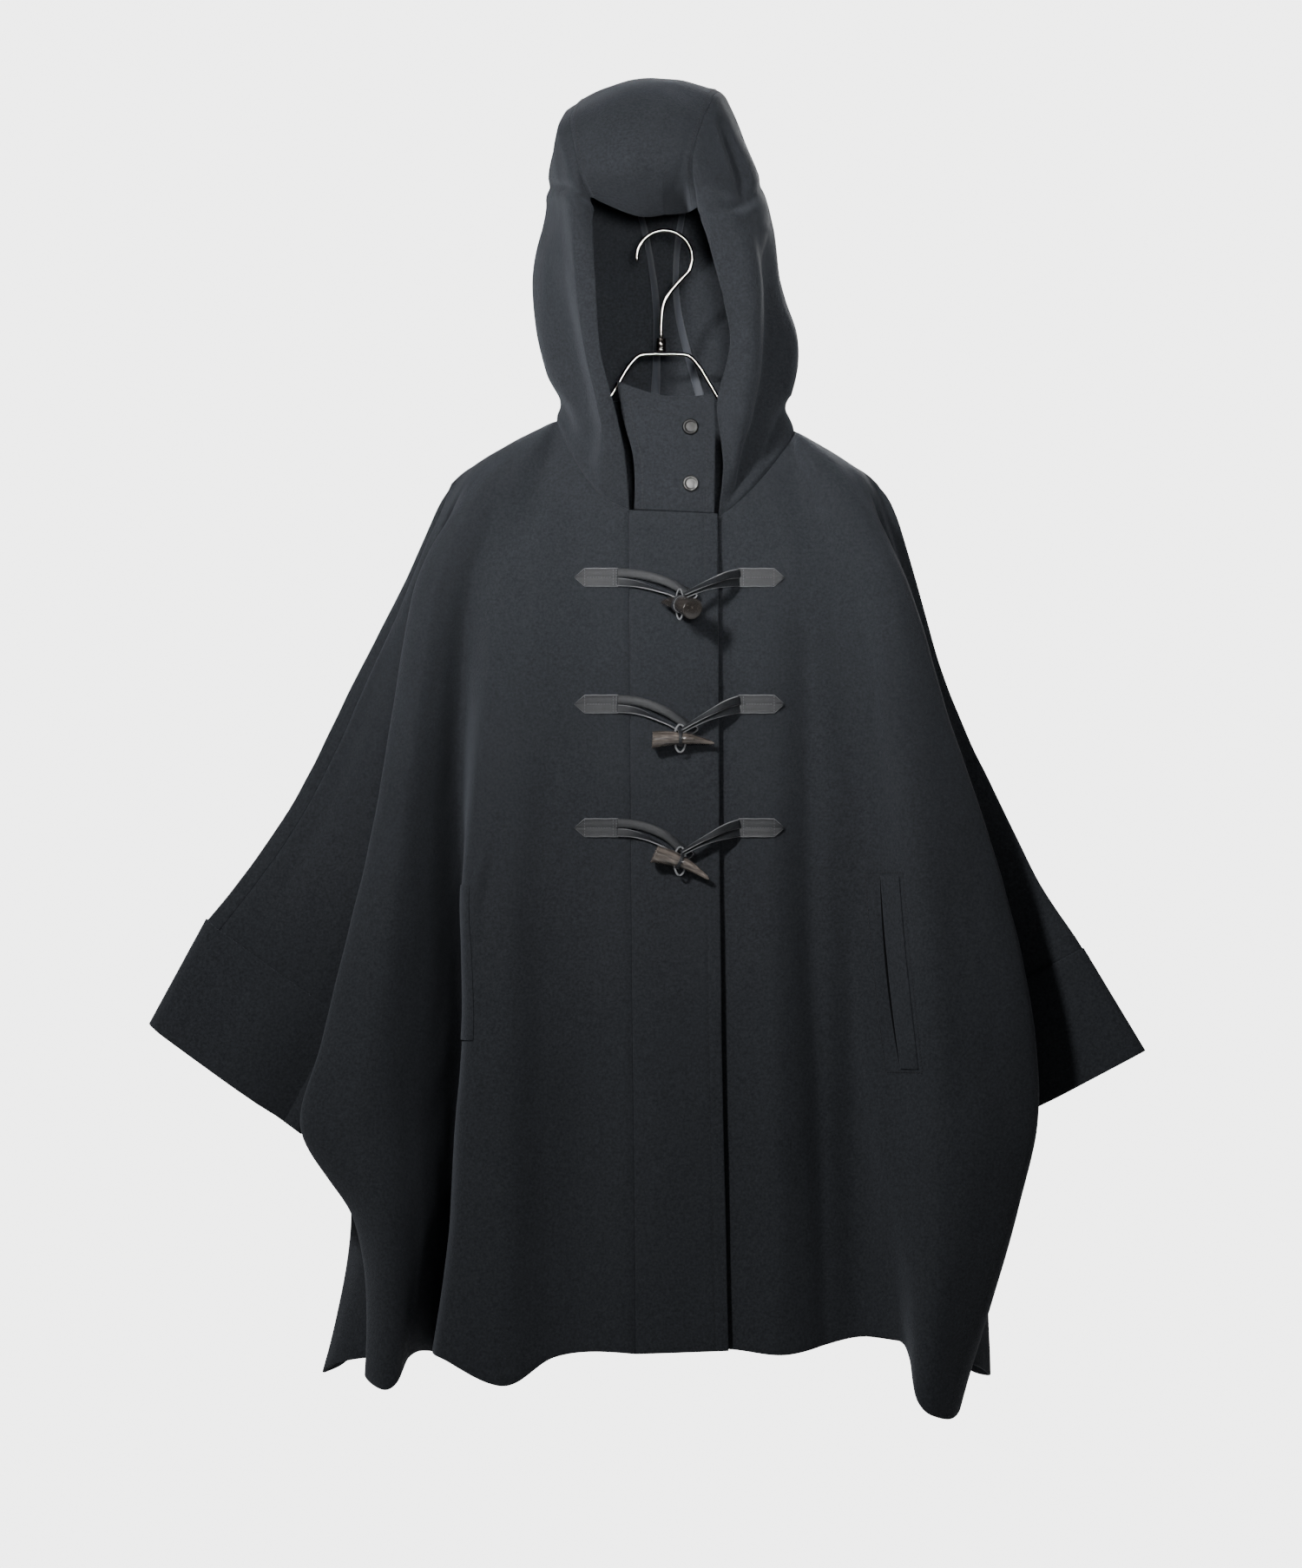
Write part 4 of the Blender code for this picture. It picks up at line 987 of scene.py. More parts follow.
def resampled(line, pitch):
    """Points at equal steps along a line, with the direction at each."""
    total = sum((b - a).length for a, b in zip(line, line[1:]))
    count = max(1, round(total / pitch))
    found, done, n = [], 0.0, 0
    for k in range(count):
        wanted = (k + 0.5) * total / count
        while n < len(line) - 2 and done + (line[n + 1] - line[n]).length < wanted:
            done += (line[n + 1] - line[n]).length
            n += 1
        way = line[n + 1] - line[n]
        share = (wanted - done) / max(way.length, 1e-6)
        found.append((line[n] + way * share, way.normalized()))
    return found


STITCH_SHAPE = ((-0.5, 0.45), (-0.36, 0.95), (0.0, 1.05), (0.36, 0.95), (0.5, 0.45))
STITCH_SIDES = 6
STITCH_LIFT = 0.12      # how high a stitch's middle stands


def turns(sides):
    """The cosine and sine of each of a number of equal turns round a circle."""
    angles = [2 * math.pi * k / sides for k in range(sides)]
    return [(math.cos(angle), math.sin(angle)) for angle in angles]


def add_stitches(name, lines, material, pitch=3.4, length=2.5, radius=0.34):
    """Rows of short thread dashes, half sunk in what they are sewn through."""
    points, faces = [], []
    for line, normal in lines:
        for centre, way in resampled(line, pitch):
            out = normal(centre) if callable(normal) else normal
            side = way.cross(out).normalized()
            start = len(points)
            for along, girth in STITCH_SHAPE:
                droop = 0.25 * (2 * along) ** 2
                middle = centre + out * (STITCH_LIFT - droop) + way * along * length
                for cosine, sine in turns(STITCH_SIDES):
                    points.append(middle + (side * cosine + out * sine) * radius * girth)
            faces += rings_faces(len(STITCH_SHAPE), STITCH_SIDES, start=start)
    return add_piece(name, points, faces, material)


RIBBON_SECTION = ((1.0, 0.3), (0.94, 0.9), (0.78, 1.1), (0.7, 1.0), (0.0, 1.08), (-0.7, 1.0),
                  (-0.78, 1.1), (-0.94, 0.9), (-1.0, 0.3), (-1.0, -0.4), (-0.9, -0.9), (0.0, -1.0),
                  (0.9, -0.9), (1.0, -0.4))
RIBBON_EDGES = (0, 1, 7, 8, 13)


def ribbon_rings(line, widths, halves, thick):
    """Rings of a flat strap; widths gives the direction of its width at each point."""
    rings = []
    for n, (point, wide, half) in enumerate(zip(line, widths, halves)):
        before, after = line[max(0, n - 1)], line[min(len(line) - 1, n + 1)]
        way = (after - before).normalized()
        wide = (wide - way * wide.dot(way)).normalized()
        up = wide.cross(way)
        rings.append([point + wide * half * a + up * thick / 2 * b for a, b in RIBBON_SECTION])
    return rings


def give_pale_edges(piece, edging, edges, sides):
    """Give the lengthwise faces of a lofted strap's edges their pale finish."""
    piece.data.materials.append(edging)
    for n, face in enumerate(piece.data.polygons):
        if len(face.vertices) == 4 and n % sides in edges:
            face.material_index = 1


def add_ribbon(name, line, widths, halves, thick, finishes, **kwargs):
    """A flat leather strap with pale edges."""
    leather, edging = finishes
    rings = ribbon_rings(line, widths, halves, thick)
    strap = add_rings(name, rings, leather, **kwargs)
    give_pale_edges(strap, edging, RIBBON_EDGES, len(RIBBON_SECTION))
    return strap


PATCH_SECTION = ((-1.0, -0.3), (-1.0, 0.6), (-0.98, 0.95), (-0.935, 1.05), (-0.9, 0.95),
                 (-0.55, 1.08), (-0.2, 1.05), (-0.05, 0.88), (0.05, 0.88), (0.2, 1.05),
                 (0.55, 1.08), (0.9, 0.95), (0.935, 1.05), (0.98, 0.95), (1.0, 0.6),
                 (1.0, -0.3))
PATCH_EDGES = (1, 2, 12, 13)


def add_patches(face, finishes, thread):
    """Pointed leather patches, sewn across their tip, along their middle and twice across beside
    the strap.
    """
    Patch = namedtuple("Patch", "side tip end")
    lines = []
    for number, z in enumerate(TOGGLE_HEIGHTS, 1):
        for patch in (Patch("loop", -82, -42), Patch("cord", 110, 68)):
            way = 1 if patch.end > patch.tip else -1
            reach = abs(patch.end - patch.tip)
            rings = []
            for k in range(43):
                far = reach * k / 42
                half = min(0.3 + far * 0.88, 8.6 + 0.1 * math.sin(far * 0.4))
                ends = min(1.0, 0.45 + far * 0.5, 0.55 + (reach - far) * 0.4)
                x = patch.tip + way * far
                ring = []
                for a, b in PATCH_SECTION:
                    place = face.front(x, z + half * a, 2.0)
                    ring.append(place - Vector((0, LAID_ON + PATCH_HEIGHT * b * ends, 0)))
                rings.append(ring if way < 0 else ring[::-1])
            piece = add_rings(f"toggle_{number}_{patch.side}_patch_leather", rings, finishes[0],
                              replaces=(f"toggle_{number}_{patch.side}_patch",), slot="leather")
            give_pale_edges(piece, finishes[1], PATCH_EDGES, len(PATCH_SECTION))
            lines += patch_stitches(face, patch.tip, way, reach, z)
    add_stitches("patch_stitches", lines, thread, pitch=2.5, length=1.9, radius=0.26)


def patch_stitches(face, tip, way, reach, z):
    """Stitch lines of one patch: across its tip, along its middle, and twice at its end."""
    inset = 7.6
    paths = [
        [(9.4, inset), (9.4, -inset)],
        [(11.0, 0.0), (reach - 6.5, 0.0)],
        [(reach - 4.6, inset), (reach - 4.6, -inset)],
        [(reach - 1.6, inset), (reach - 1.6, -inset)],
    ]
    lines = []
    for path in paths:
        line = []
        for (a, c), (b, d) in zip(path, path[1:]):
            count = max(2, int(math.hypot(b - a, d - c) / 1.5))
            line += [(a + (b - a) * k / count, c + (d - c) * k / count) for k in range(count + 1)]
        placed = []
        for far, up in line:
            place = face.front(tip + way * far, z + up, 2.0)
            placed.append(place - Vector((0, LAID_ON + PATCH_HEIGHT * 0.98, 0)))
        lines.append((placed, Vector((0, -1, 0))))
    return lines


def steady(face):
    """A function that gives a panel's outward direction at a point of its front."""
    return lambda point: face.at(point.x, point.z)[1]


# ---------------------------------------------------------------- toggles
Toggle = namedtuple("Toggle", "butt tip waist loop_end bend girth shade")
HORN_SIDES = 32
TIE_STANDS = 0.6        # how far the thong's middle stands off the horn


def toggle_places(face):
    """Where each horn lies, in front of the placket."""
    def ahead(x, z, out):
        return Vector((x, face.at(x, z)[0].y - out, z))

    return (
        # The last number scales each horn's colours: painted shade on the top horn, painted light
        # on the two below it.
        Toggle(ahead(26, -349, 50), ahead(-2, -342, 9), 0.42, ahead(30, -334, 6),
               (0, 0, 2), 9.5, 0.42),
        Toggle(ahead(-11, -468, 14), ahead(46, -471, 11), 0.45, ahead(31, -456, 4.5),
               (0, 0, 3), 8.4, 1.25),
        Toggle(ahead(-9, -572, 14), ahead(41, -595, 11), 0.45, ahead(27, -570, 4.5),
               (1, 0, 4), 8.8, 2.0),
    )


def horn_taper(f):
    """Share of its girth that a horn keeps at a place along it."""
    return 1.0 - 0.82 * f ** 1.35


def horn_middle(toggle, f):
    """A point of the bent line through a horn."""
    bend = Vector(toggle.bend) * math.sin(math.pi * f)
    return toggle.butt + (toggle.tip - toggle.butt) * f + bend


def horn_radius(f, waist, girth):
    """Radius along a horn: a flared rim at its butt, a groove at its waist, a blunt tip."""
    body = girth * horn_taper(f)
    body += 0.55 * math.exp(-(f / 0.022) ** 2)
    body -= 0.75 * math.exp(-((f - waist) / 0.05) ** 2)
    return body


def add_horn(name, toggle, material):
    """The horn itself: a bent, slightly oval taper with rounded ends."""
    axis = toggle.tip - toggle.butt
    stations = [(0.0, 0.3, 0.012), (0.0, 0.62, 0.010), (0.0, 0.86, 0.003), (0.0, 0.96, 0.0)]
    stations += [(0.006, 1.0, 0.0), (0.02, 1.0, 0.0), (0.035, 1.0, 0.0)]
    stations += [(0.05 + 0.9 * k / 40, 1.0, 0.0) for k in range(41)]
    stations += [(0.965, 0.93, 0.0), (0.98, 0.76, 0.0), (0.993, 0.5, 0.0), (1.0, 0.2, 0.0)]
    across = axis.normalized().to_track_quat("Z", "Y")
    rings = []
    for f, share, sink in stations:
        centre = horn_middle(toggle, f) + axis * sink
        girth = horn_radius(f, toggle.waist, toggle.girth) * share
        ring = []
        for k, (cosine, sine) in enumerate(turns(HORN_SIDES)):
            oval = girth * (1 + 0.05 * math.cos(4 * math.pi * k / HORN_SIDES + 0.6))
            ring.append(centre + across @ Vector((cosine * oval, sine * oval, 0)))
        rings.append(ring)
    add_rings(f"{name}_horn_turned", rings, material, replaces=(f"{name}_horn",), slot="horn")


def add_tie(name, toggle, finishes):
    """The thong that is tied twice round a horn's waist."""
    axis = (toggle.tip - toggle.butt).normalized()
    across = axis.to_track_quat("Z", "Y")
    centre = horn_middle(toggle, toggle.waist)
    girth = toggle.girth * horn_taper(toggle.waist) + TIE_STANDS
    line = []
    for k in range(73):
        turn = 4 * math.pi * k / 72
        drift = axis * (1.2 * (k / 72) * 2 - 1.2)
        line.append(centre + drift + across @ Vector((math.cos(turn), math.sin(turn), 0)) * girth)
    bight = []
    for k in range(61):
        turn = 2 * math.pi * k / 60
        out = Vector((math.cos(turn) * (girth + 0.5), math.sin(turn) * (girth + 3.4)))
        bight.append(centre + Vector((0, 3.2, 0)) + axis * out.x * 0.75
                     + across @ Vector((0, out.y, 0)) * 0.3 + Vector((0, 0.2, 1)) * out.y * 0.95)
    add_ribbon(f"{name}_bight", bight, [axis] * len(bight), [0.85] * len(bight), 1.1,
               finishes[::-1], slot="leather")
    add_ribbon(f"{name}_tie", line, [axis] * len(line), [1.0] * len(line), 1.2, finishes,
               replaces=(f"{name}_ring",), slot="leather")
    return centre, girth


def add_loop(name, face, height, end, finishes):
    """A strap that crosses the placket, turns at the horn and comes back under itself."""
    def near(x, z, out):
        return face.at(x, z)[0] + Vector((0, -out, 0))

    mid_z = (height + end.z) / 2
    upper = [near(-43, height + 4.2, 2.4), near(-30, height + 3.6, 3.4),
             Vector((2, end.y - 1.4, mid_z + 3.6)), end + Vector((-8, -0.8, 2.2))]
    turn = [end + Vector(step)
            for step in ((-2.5, 0, 1.4), (0, 0.3, -1.4), (-2.5, 0.6, -4.4))]
    lower = [end + Vector((-8, 0.8, -6.0)), Vector((2, end.y + 1.2, mid_z - 7.4)),
             near(-30, height - 5.4, 3.0), near(-43, height - 4.2, 2.2)]
    line = smooth(upper + turn + lower, (6, 10, 8, 4, 6, 6, 4, 8, 10, 6))
    face_on, edge_on, flat_again = Vector((0, 0.12, 1)), Vector((0, 1, 0.12)), Vector((0, 0.45, 1))
    widths, halves = [], []
    for k in range(len(line)):
        turned = eased((k - 20) / 10)
        back = eased((k - 50) / 16)
        widths.append(face_on.lerp(edge_on, turned).lerp(flat_again, back))
        halves.append(4.1 - 1.5 * turned + 1.4 * back)
    add_ribbon(f"{name}_loop_strap", line, widths, halves, 1.5, finishes,
               replaces=(f"{name}_loop",), slot="leather")


def add_cord(name, number, face, height, centre, girth, finishes):
    """The doubled strap that holds the horn: it bows from its patch to the horn's waist."""
    start = face.at(69, height)[0] + Vector((0, -2.8, 4.0))
    top = centre + Vector((1.5, -1.0, girth + 1.6))
    if number == 1:
        top = centre + Vector((3.7, 2.5, girth + 1.2))
    middle = start.lerp(top, 0.5) + Vector((0, -5.5, 2.0))
    line = smooth([start, start.lerp(middle, 0.4) + Vector((0, -1.5, 1.2)), middle, top],
                  (8, 12, 14))
    count = len(line) - 1
    upper, under, halves = [], [], []
    for n, point in enumerate(line):
        f = n / count
        upper.append(Vector((0, 0.1 + 0.9 * f * f, 1 - 0.5 * f)))
        under.append(point + Vector((0, 0.9 + 0.8 * f, -8.0 + 5.6 * eased(f))))
        halves.append(4.0 - 1.6 * eased(f * 1.1))
    add_ribbon(f"{name}_cord_strap", line, upper, halves, 1.5, finishes,
               replaces=(f"{name}_cord",), slot="leather")
    tilt = [Vector((0, 0.25 + 0.9 * n / count, 1)) for n in range(count + 1)]
    add_ribbon(f"{name}_cord_under", under, tilt, halves, 1.4, finishes, slot="leather")


def add_toggles(face, finishes):
    """Three sets of horn, thong, loop and strap."""
    for number, toggle in enumerate(toggle_places(face), 1):
        name = f"toggle_{number}"
        height = TOGGLE_HEIGHTS[number - 1]
        along = toggle.tip - toggle.butt
        add_horn(name, toggle, horn_finish(f"polished horn {number}", along, toggle.shade))
        centre, girth = add_tie(name, toggle, finishes)
        add_loop(name, face, height, toggle.loop_end, finishes)
        add_cord(name, number, face, height, centre, girth, finishes)


# ---------------------------------------------------------------- studs, welts, bindings
SNAP_PROFILE = ((0.0, 1.9), (1.6, 1.85), (3.4, 1.7), (4.3, 1.55), (4.8, 1.75), (5.3, 2.15),
                (6.0, 2.3), (6.7, 2.05), (7.2, 1.5), (7.5, 0.8), (7.5, 0.1))
SNAP_SIDES = 48


def add_snap(name, face, x, z, metal):
    """The cap of a press stud: a raised ring round a low crowned middle."""
    place, normal = face.at(x, z)
    across = normal.to_track_quat("Z", "Y")
    base = place + normal * 0.3
    rings = []
    for r, h in SNAP_PROFILE[:0:-1]:
        rings.append([base + across @ Vector((cosine * r, sine * r, h))
                      for cosine, sine in turns(SNAP_SIDES)])
    add_rings(f"{name}_cap", rings, metal, replaces=(name,), slot="snap_metal")


WeltCourse = namedtuple("WeltCourse", "slit edge z")
WELT_COURSES = (WeltCourse(198, 215, -592), WeltCourse(203, 220, -654),
                WeltCourse(209, 226, -712), WeltCourse(216, 232, -768))
WELT_SHARES = (0.0, 0.08, 0.2, 0.4, 0.6, 0.8, 0.92, 1.0)


def welt_line(field, shift=0.0, ends=0.0):
    """One long edge of the left pocket's opening or welt, moved or made longer."""
    points = [(getattr(c, field) + shift, c.z, 0) for c in WELT_COURSES]
    line = smooth(points, (16, 16, 16))
    line[0] = line[0] + (line[0] - line[1]).normalized() * ends
    line[-1] = line[-1] + (line[-1] - line[-2]).normalized() * ends
    return line


def add_left_welt(face, material, thread, lining):
    """The welt beside the slanted pocket slit, and the stitched frame round both."""
    slit, edge = welt_line("slit"), welt_line("edge")
    grid = []
    for a, b in zip(slit, edge):
        row = []
        for n, share in enumerate(WELT_SHARES):
            spot = a.lerp(b, share)
            row.append(face.front(spot.x, spot.y, 1.0) + Vector((0, n / 7, 0)))
        grid.append(row[::-1])
    normals = surface_normals([(grid, False)])
    welt = shell("pocket_welt_left_cloth", grid, normals, material, outside=LAID_ON + 0.9,
                 depth=-0.1, rounding=0.9, replaces=("pocket_welt_left",))
    declare_sheet(grid, False)
    # A near-black strip laid on the cloth along the slit: painted shadow of the pocket's opening.
    mouth = []
    for n, a in enumerate(slit):
        half = 0.25 + 1.15 * math.sin(math.pi * n / (len(slit) - 1)) ** 0.7
        mouth.append((face.front(a.x - half, a.y, 1.0), half))
    line = [place - Vector((0, 0.35, 0)) for place, _ in mouth]
    add_ribbon("pocket_mouth_left", line, [Vector((1, 0, 0))] * len(line),
               [half for _, half in mouth], 0.5, (lining, lining))
    frame_lines = (welt_line("slit", -14.0, 3.0), welt_line("edge", 3.0, 3.0))
    lines = []
    for line in frame_lines:
        placed = [face.at(p.x, p.y)[0] for p in line]
        lines.append((placed, steady(face)))
    for n in (0, -1):
        a, b = frame_lines[0][n], frame_lines[1][n]
        placed = [face.front(a.x + (b.x - a.x) * k / 24, a.y + (b.y - a.y) * k / 24, 0.5)
                  for k in range(25)]
        lines.append((placed, steady(face)))
    add_stitches("pocket_stitches", lines, thread, pitch=3.0, length=2.2, radius=0.4)


def add_right_welt(rows, normals, material):
    """The mirrored welt, on the slope of the deep fold."""
    down = slice(7 * DETAIL_DOWN, 9 * DETAIL_DOWN + 1)
    across = slice(6 * DETAIL_ACROSS, 8 * DETAIL_ACROSS + 1)
    grid = [row[across] for row in rows[down]]
    welt = shell("pocket_welt_right_cloth", grid, normals, material, outside=LAID_ON + 0.9,
                 depth=-0.1, rounding=0.9, replaces=("pocket_welt_right",))
    declare_sheet(grid, False)


def add_bindings(strip, normals, satin):
    """Satin bindings inside the hood, one over each seam of the centre strip."""
    bindings = []
    for name, column, way in (("hood_binding_right", 0, 1), ("hood_binding_left", -1, -1)):
        rows, local = [], {}
        for row in strip[BINDING_FROM:]:
            seam = row[column]
            across = (row[column + 3 * way] - seam).normalized()
            line = [seam + across * (BINDING_WIDTH * f - BINDING_OVER)
                    for f in (0, 0.12, 0.5, 0.88, 1.0)]
            bulge = (0.0, 0.25, 0.45, 0.25, 0.0)
            facing = normals[key(seam)]
            line = [p - facing * b for p, b in zip(line, bulge)]
            line = line if way == 1 else line[::-1]
            for point in line:
                local[key(point)] = facing
            rows.append(line)
        binding = shell(f"{name}_satin", rows, local, satin, outside=-(WALL + BINDING_GAP),
                        depth=WALL + BINDING_GAP + BINDING, rounding=BINDING_ROUND,
                        replaces=(name,), slot="satin")
        bindings.append(binding)
    return bindings


# ---------------------------------------------------------------- hanger
def add_wire(name, line, radius, material, replaces):
    """A round wire along a line, with rounded ends."""
    curve = bpy.data.curves.new(name, "CURVE")
    curve.dimensions = "3D"
    curve.bevel_depth = radius * MM
    curve.bevel_resolution = 7
    curve.use_fill_caps = True
    ends = [0.45, 0.75, 0.93]
    first, last = line[0], line[-1]
    out_first = (first - line[1]).normalized()
    out_last = (last - line[-2]).normalized()
    tips = [first + out_first * radius * s for s in (0.0, -0.35, -0.75)]
    tails = [last - out_last * radius * s for s in (0.75, 0.35, 0.0)]
    inner = [p for p in line[1:-1] if (p - first).length > radius and (p - last).length > radius]
    points = tips + inner + tails
    girths = ends + [1.0] * len(inner) + ends[::-1]
    spline = curve.splines.new("POLY")
    spline.points.add(len(points) - 1)
    for n, point in enumerate(points):
        spline.points[n].co = (*(point * MM), 1.0)
        spline.points[n].radius = girths[n]
    spline.use_smooth = True
    piece = scene_object(name, curve)
    curve.materials.append(material)
    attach(piece, "root")
    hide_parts(replaces)


FERRULE_PROFILE = ((2.1, -6.1), (3.6, -6.1), (4.2, -5.7), (4.4, -5.0), (4.4, -3.4), (4.0, -3.1),
                   (4.0, -2.7), (4.4, -2.4), (4.4, 3.6), (4.0, 3.9), (4.0, 4.3), (4.4, 4.6),
                   (4.3, 5.5), (3.7, 6.1), (2.1, 6.1))
FERRULE_SIDES = 40


def add_hanger(metal):
    """The hook, its ferrule, the bent yoke and the two arms under the shoulders."""
    centre = Vector((0.5, 0, WIRE - HOOK_BOW))
    bow = []
    for k in range(109):
        angle = math.radians(186 - k * 2)
        bow.append(centre + Vector((math.cos(angle), 0, math.sin(angle))) * HOOK_BOW)
    stem = smooth([bow[-1], (13, 0, -46), (0.5, 0, -64), (STEM_X, 0, -82), (STEM_X, 0, -97)],
                  (12, 16, 16, 12))
    add_wire("hanger_hook_wire", bow + stem[1:], WIRE, metal, "hanger_hook")

    rings = []
    for radius, height in FERRULE_PROFILE:
        rings.append([Vector((STEM_X + cosine * radius, sine * radius, FERRULE_Z + height))
                      for cosine, sine in turns(FERRULE_SIDES)])
    add_rings("hanger_ferrule_turned", rings, metal, replaces=("hanger_ferrule",),
              slot="hanger_metal")

    bar = YOKE_BAR_Z
    side = ((0, 0), (14, 0), (23, 1.5), (29, 7), (42, 27), (52, 44))
    half = smooth([(x, 0, bar - fall) for x, fall in side], (4, 8, 8, 10, 8))
    mirrored = [Vector((-p.x, p.y, p.z)) for p in half[:0:-1]]
    add_wire("hanger_yoke_wire", mirrored + half, YOKE_WIRE, metal, "hanger_yoke")

    for name, way in (("hanger_arm_right", -1), ("hanger_arm_left", 1)):
        line = [Vector((way * 52.4, 0, bar - 44.6)), Vector((way * 64, 0, bar - 60)),
                Vector((way * 80, 0, bar - 72))]
        for reach, spare in ((100, 9.5), (122, 5.0), (144, 0.8), (162, 0.8), (ARM_END, 0.8)):
            fall = SHOULDER_SLOPE + 2 * SHOULDER_CURVE * (reach - NECK_SIDE)
            upward = Vector((way * fall, 0, 1)).normalized()
            line.append(shoulder(way * reach) - upward * (2.6 + LAID_ON + ARM + spare))
        add_wire(f"{name}_tube", smooth(line, (6, 8, 8, 8, 8, 8, 8)), ARM, metal, name)


# ---------------------------------------------------------------- the coat
SEAM_CALM = 25.0        # creases die away this close to a seam
HOOD_SEAM_CALM = 10.0
SEAM_DIP = 1.6
TIP_ROUNDING = 30.0     # the shoulder's tips are eased down over this reach
TIP_DROP = 4.0
FORWARD = Vector((0, -1, 0))

CREASES = {
    # the deep fold, the sharp edge beside it, and the sleeve
    "coat_front_right": (
        Crease(5, 2.2, (-160, -562), (-169, -590), (-176, -650)),
        Crease(4, -2.0, (-152, -566), (-162, -602), (-166, -640)),
        Crease(22, 4, (-236, -520), (-256, -700), (-252, -850), (-246, -1000), (-244, -1250)),
        Crease(26, -3.0, (-70, -560), (-74, -760), (-72, -960), (-70, -1300)),
        Crease(24, 3.0, (-128, -420), (-138, -700), (-140, -950), (-138, -1300)),
        Crease(12, -2.4, (-112, -196), (-126, -240), (-146, -300), (-158, -380)),
        Crease(9, 1.8, (-92, -206), (-104, -250), (-118, -330), (-122, -430)),
        Crease(12, -3.0, (-236, -330), (-282, -450), (-330, -560), (-372, -640)),
    ),
    # a soft valley, the ridge that runs out into the hem's tongue, and the sleeve
    "coat_front_left": (
        Crease(19, -11, (128, -330), (132, -448), (137, -634), (146, -819), (151, -1005),
               (153, -1300)),
        Crease(22, 8, (150, -400), (166, -541), (185, -726), (222, -912), (243, -1060),
               (255, -1300)),
        Crease(16, 2.6, (98, -420), (100, -640), (104, -860), (106, -1300)),
        Crease(22, -3.0, (258, -560), (272, -720), (262, -880), (236, -1000)),
        Crease(10, -2.4, (122, -196), (136, -240), (150, -300), (158, -390)),
        Crease(9, 2.0, (96, -232), (112, -280), (122, -350)),
        Crease(4, -2.2, (196, -590), (202, -654), (208, -712), (215, -770)),
        Crease(10, -2.6, (262, -380), (300, -480), (344, -580), (372, -650)),
    ),
    "coat_back": (
        Crease(20, -5, (-96, -300), (-120, -520), (-134, -760), (-142, -1300)),
        Crease(18, 4, (-44, -330), (-58, -560), (-68, -820), (-74, -1300)),
        Crease(20, -5, (104, -320), (124, -540), (138, -780), (146, -1300)),
        Crease(18, 4, (60, -360), (72, -600), (80, -860), (84, -1300)),
        Crease(10, -2.5, (-90, -176), (-108, -230), (-130, -300)),
        Crease(10, -2.5, (104, -186), (120, -240), (140, -310)),
    ),
    # long folds behind the face opening, and the step at the brow
    "hood_side_right": (
        Crease((13, 14), -8, (-102, 30), (-97, -20), (-89, -78), (-79, -125), (-72, -150),
               (-69, -178), (-72, -210), (-78, -245)),
        Crease(7, 3, (-112, 0), (-114, -60), (-104, -120), (-92, -160)),
        Crease((3, 4.5), -4, (-110, 44), (-100, 41), (-84, 33), (-64, 25), (-56, 21)),
        Crease(6, 3, (-108, 34), (-98, 31), (-84, 24), (-66, 16), (-60, 12)),
        Crease(24, 8, (-94, 40), (-95, 75), (-90, 105), (-84, 130)),
    ),
    "hood_side_left": (
        Crease((8, 9), -14, (88, -2), (98, -36), (102, -70), (102, -98), (95, -158), (82, -204),
               (66, -251), (60, -270)),
        Crease(14, 4, (74, 0), (80, -60), (78, -120), (68, -190), (56, -240)),
        Crease(8, 4, (116, -40), (120, -90), (112, -150), (98, -200)),
        Crease(5, -6, (50, 104), (57, 88), (67, 57), (76, 31), (78, 20)),
        Crease(6, -6, (20, 6), (25, -1), (40, -36), (66, -85), (74, -100)),
        Crease(3.5, -4.5, (26, 12), (44, 14), (76, 24), (86, 34), (92, 52)),
        Crease(6, 2.5, (40, 3), (60, 7), (80, 15), (94, 28)),
        Crease(10, -6, (26, 40), (44, 38), (62, 34), (76, 28)),
        Crease(5, -6, (116, -150), (106, -175), (100, -195), (96, -215)),
    ),
    # the hollow under the brow, and the band beside the crown's left seam
    "hood_centre": (
        Crease(24, -22, (-80, 4), (-48, -2), (-16, 0), (14, 4), (44, 12), way=FORWARD),
        Crease(19, -34, (2, 10), (18, 12), (34, 14), (48, 16), way=FORWARD),
        Crease(12, 4, (-50, 56), (-26, 62), (-4, 62), (18, 60), (34, 56), way=FORWARD),
        Crease(3.2, -2.2, (41, 136), (26, 89), (15.5, 54), (8, 30)),
    ),
}


def coat_panels():
    """Every panel's creased grid, the points where it is pinched, and the underarm's row."""
    body = body_rows()
    placket = placket_rows(body.front_right)

    n = NECK_STEPS
    back_row = body.back[0][16 * DETAIL_ACROSS:]
    right_neck = body.front_right[0][:4 * n + 1] + back_row[1:3 * n + 1]
    nape = 3 * n + 2 * STRIP_STEPS
    nape_row = back_row[3 * n:nape + 1]
    left_neck = back_row[nape:nape + 3 * n] + body.front_left[0][-(5 * n) - 1:-n]
    side_right = side_rows(HOOD_RIGHT, right_neck)
    side_left = side_rows(HOOD_LEFT[::-1], left_neck)
    strip = strip_rows(side_right[0], side_left[0][::-1], nape_row)

    panels = [
        ("coat_front_right", body.front_right, False), ("coat_back", body.back, False),
        ("coat_front_left", body.front_left, False), ("front_placket", placket, False),
        ("hood_side_right", side_right, False), ("hood_side_left", side_left, False),
        ("hood_centre", strip, False),
    ]
    tucks = [body.front_right[body.upper][-SLEEVE_COLUMNS],
             body.front_left[body.upper][SLEEVE_COLUMNS - 1]]
    pinches = [body.front_right[0][-1], body.front_left[0][0]] + tucks
    nape_ends = [strip[-1][0], strip[-1][-1]]
    return creased(panels, CREASES, pinches + nape_ends), pinches, body.upper


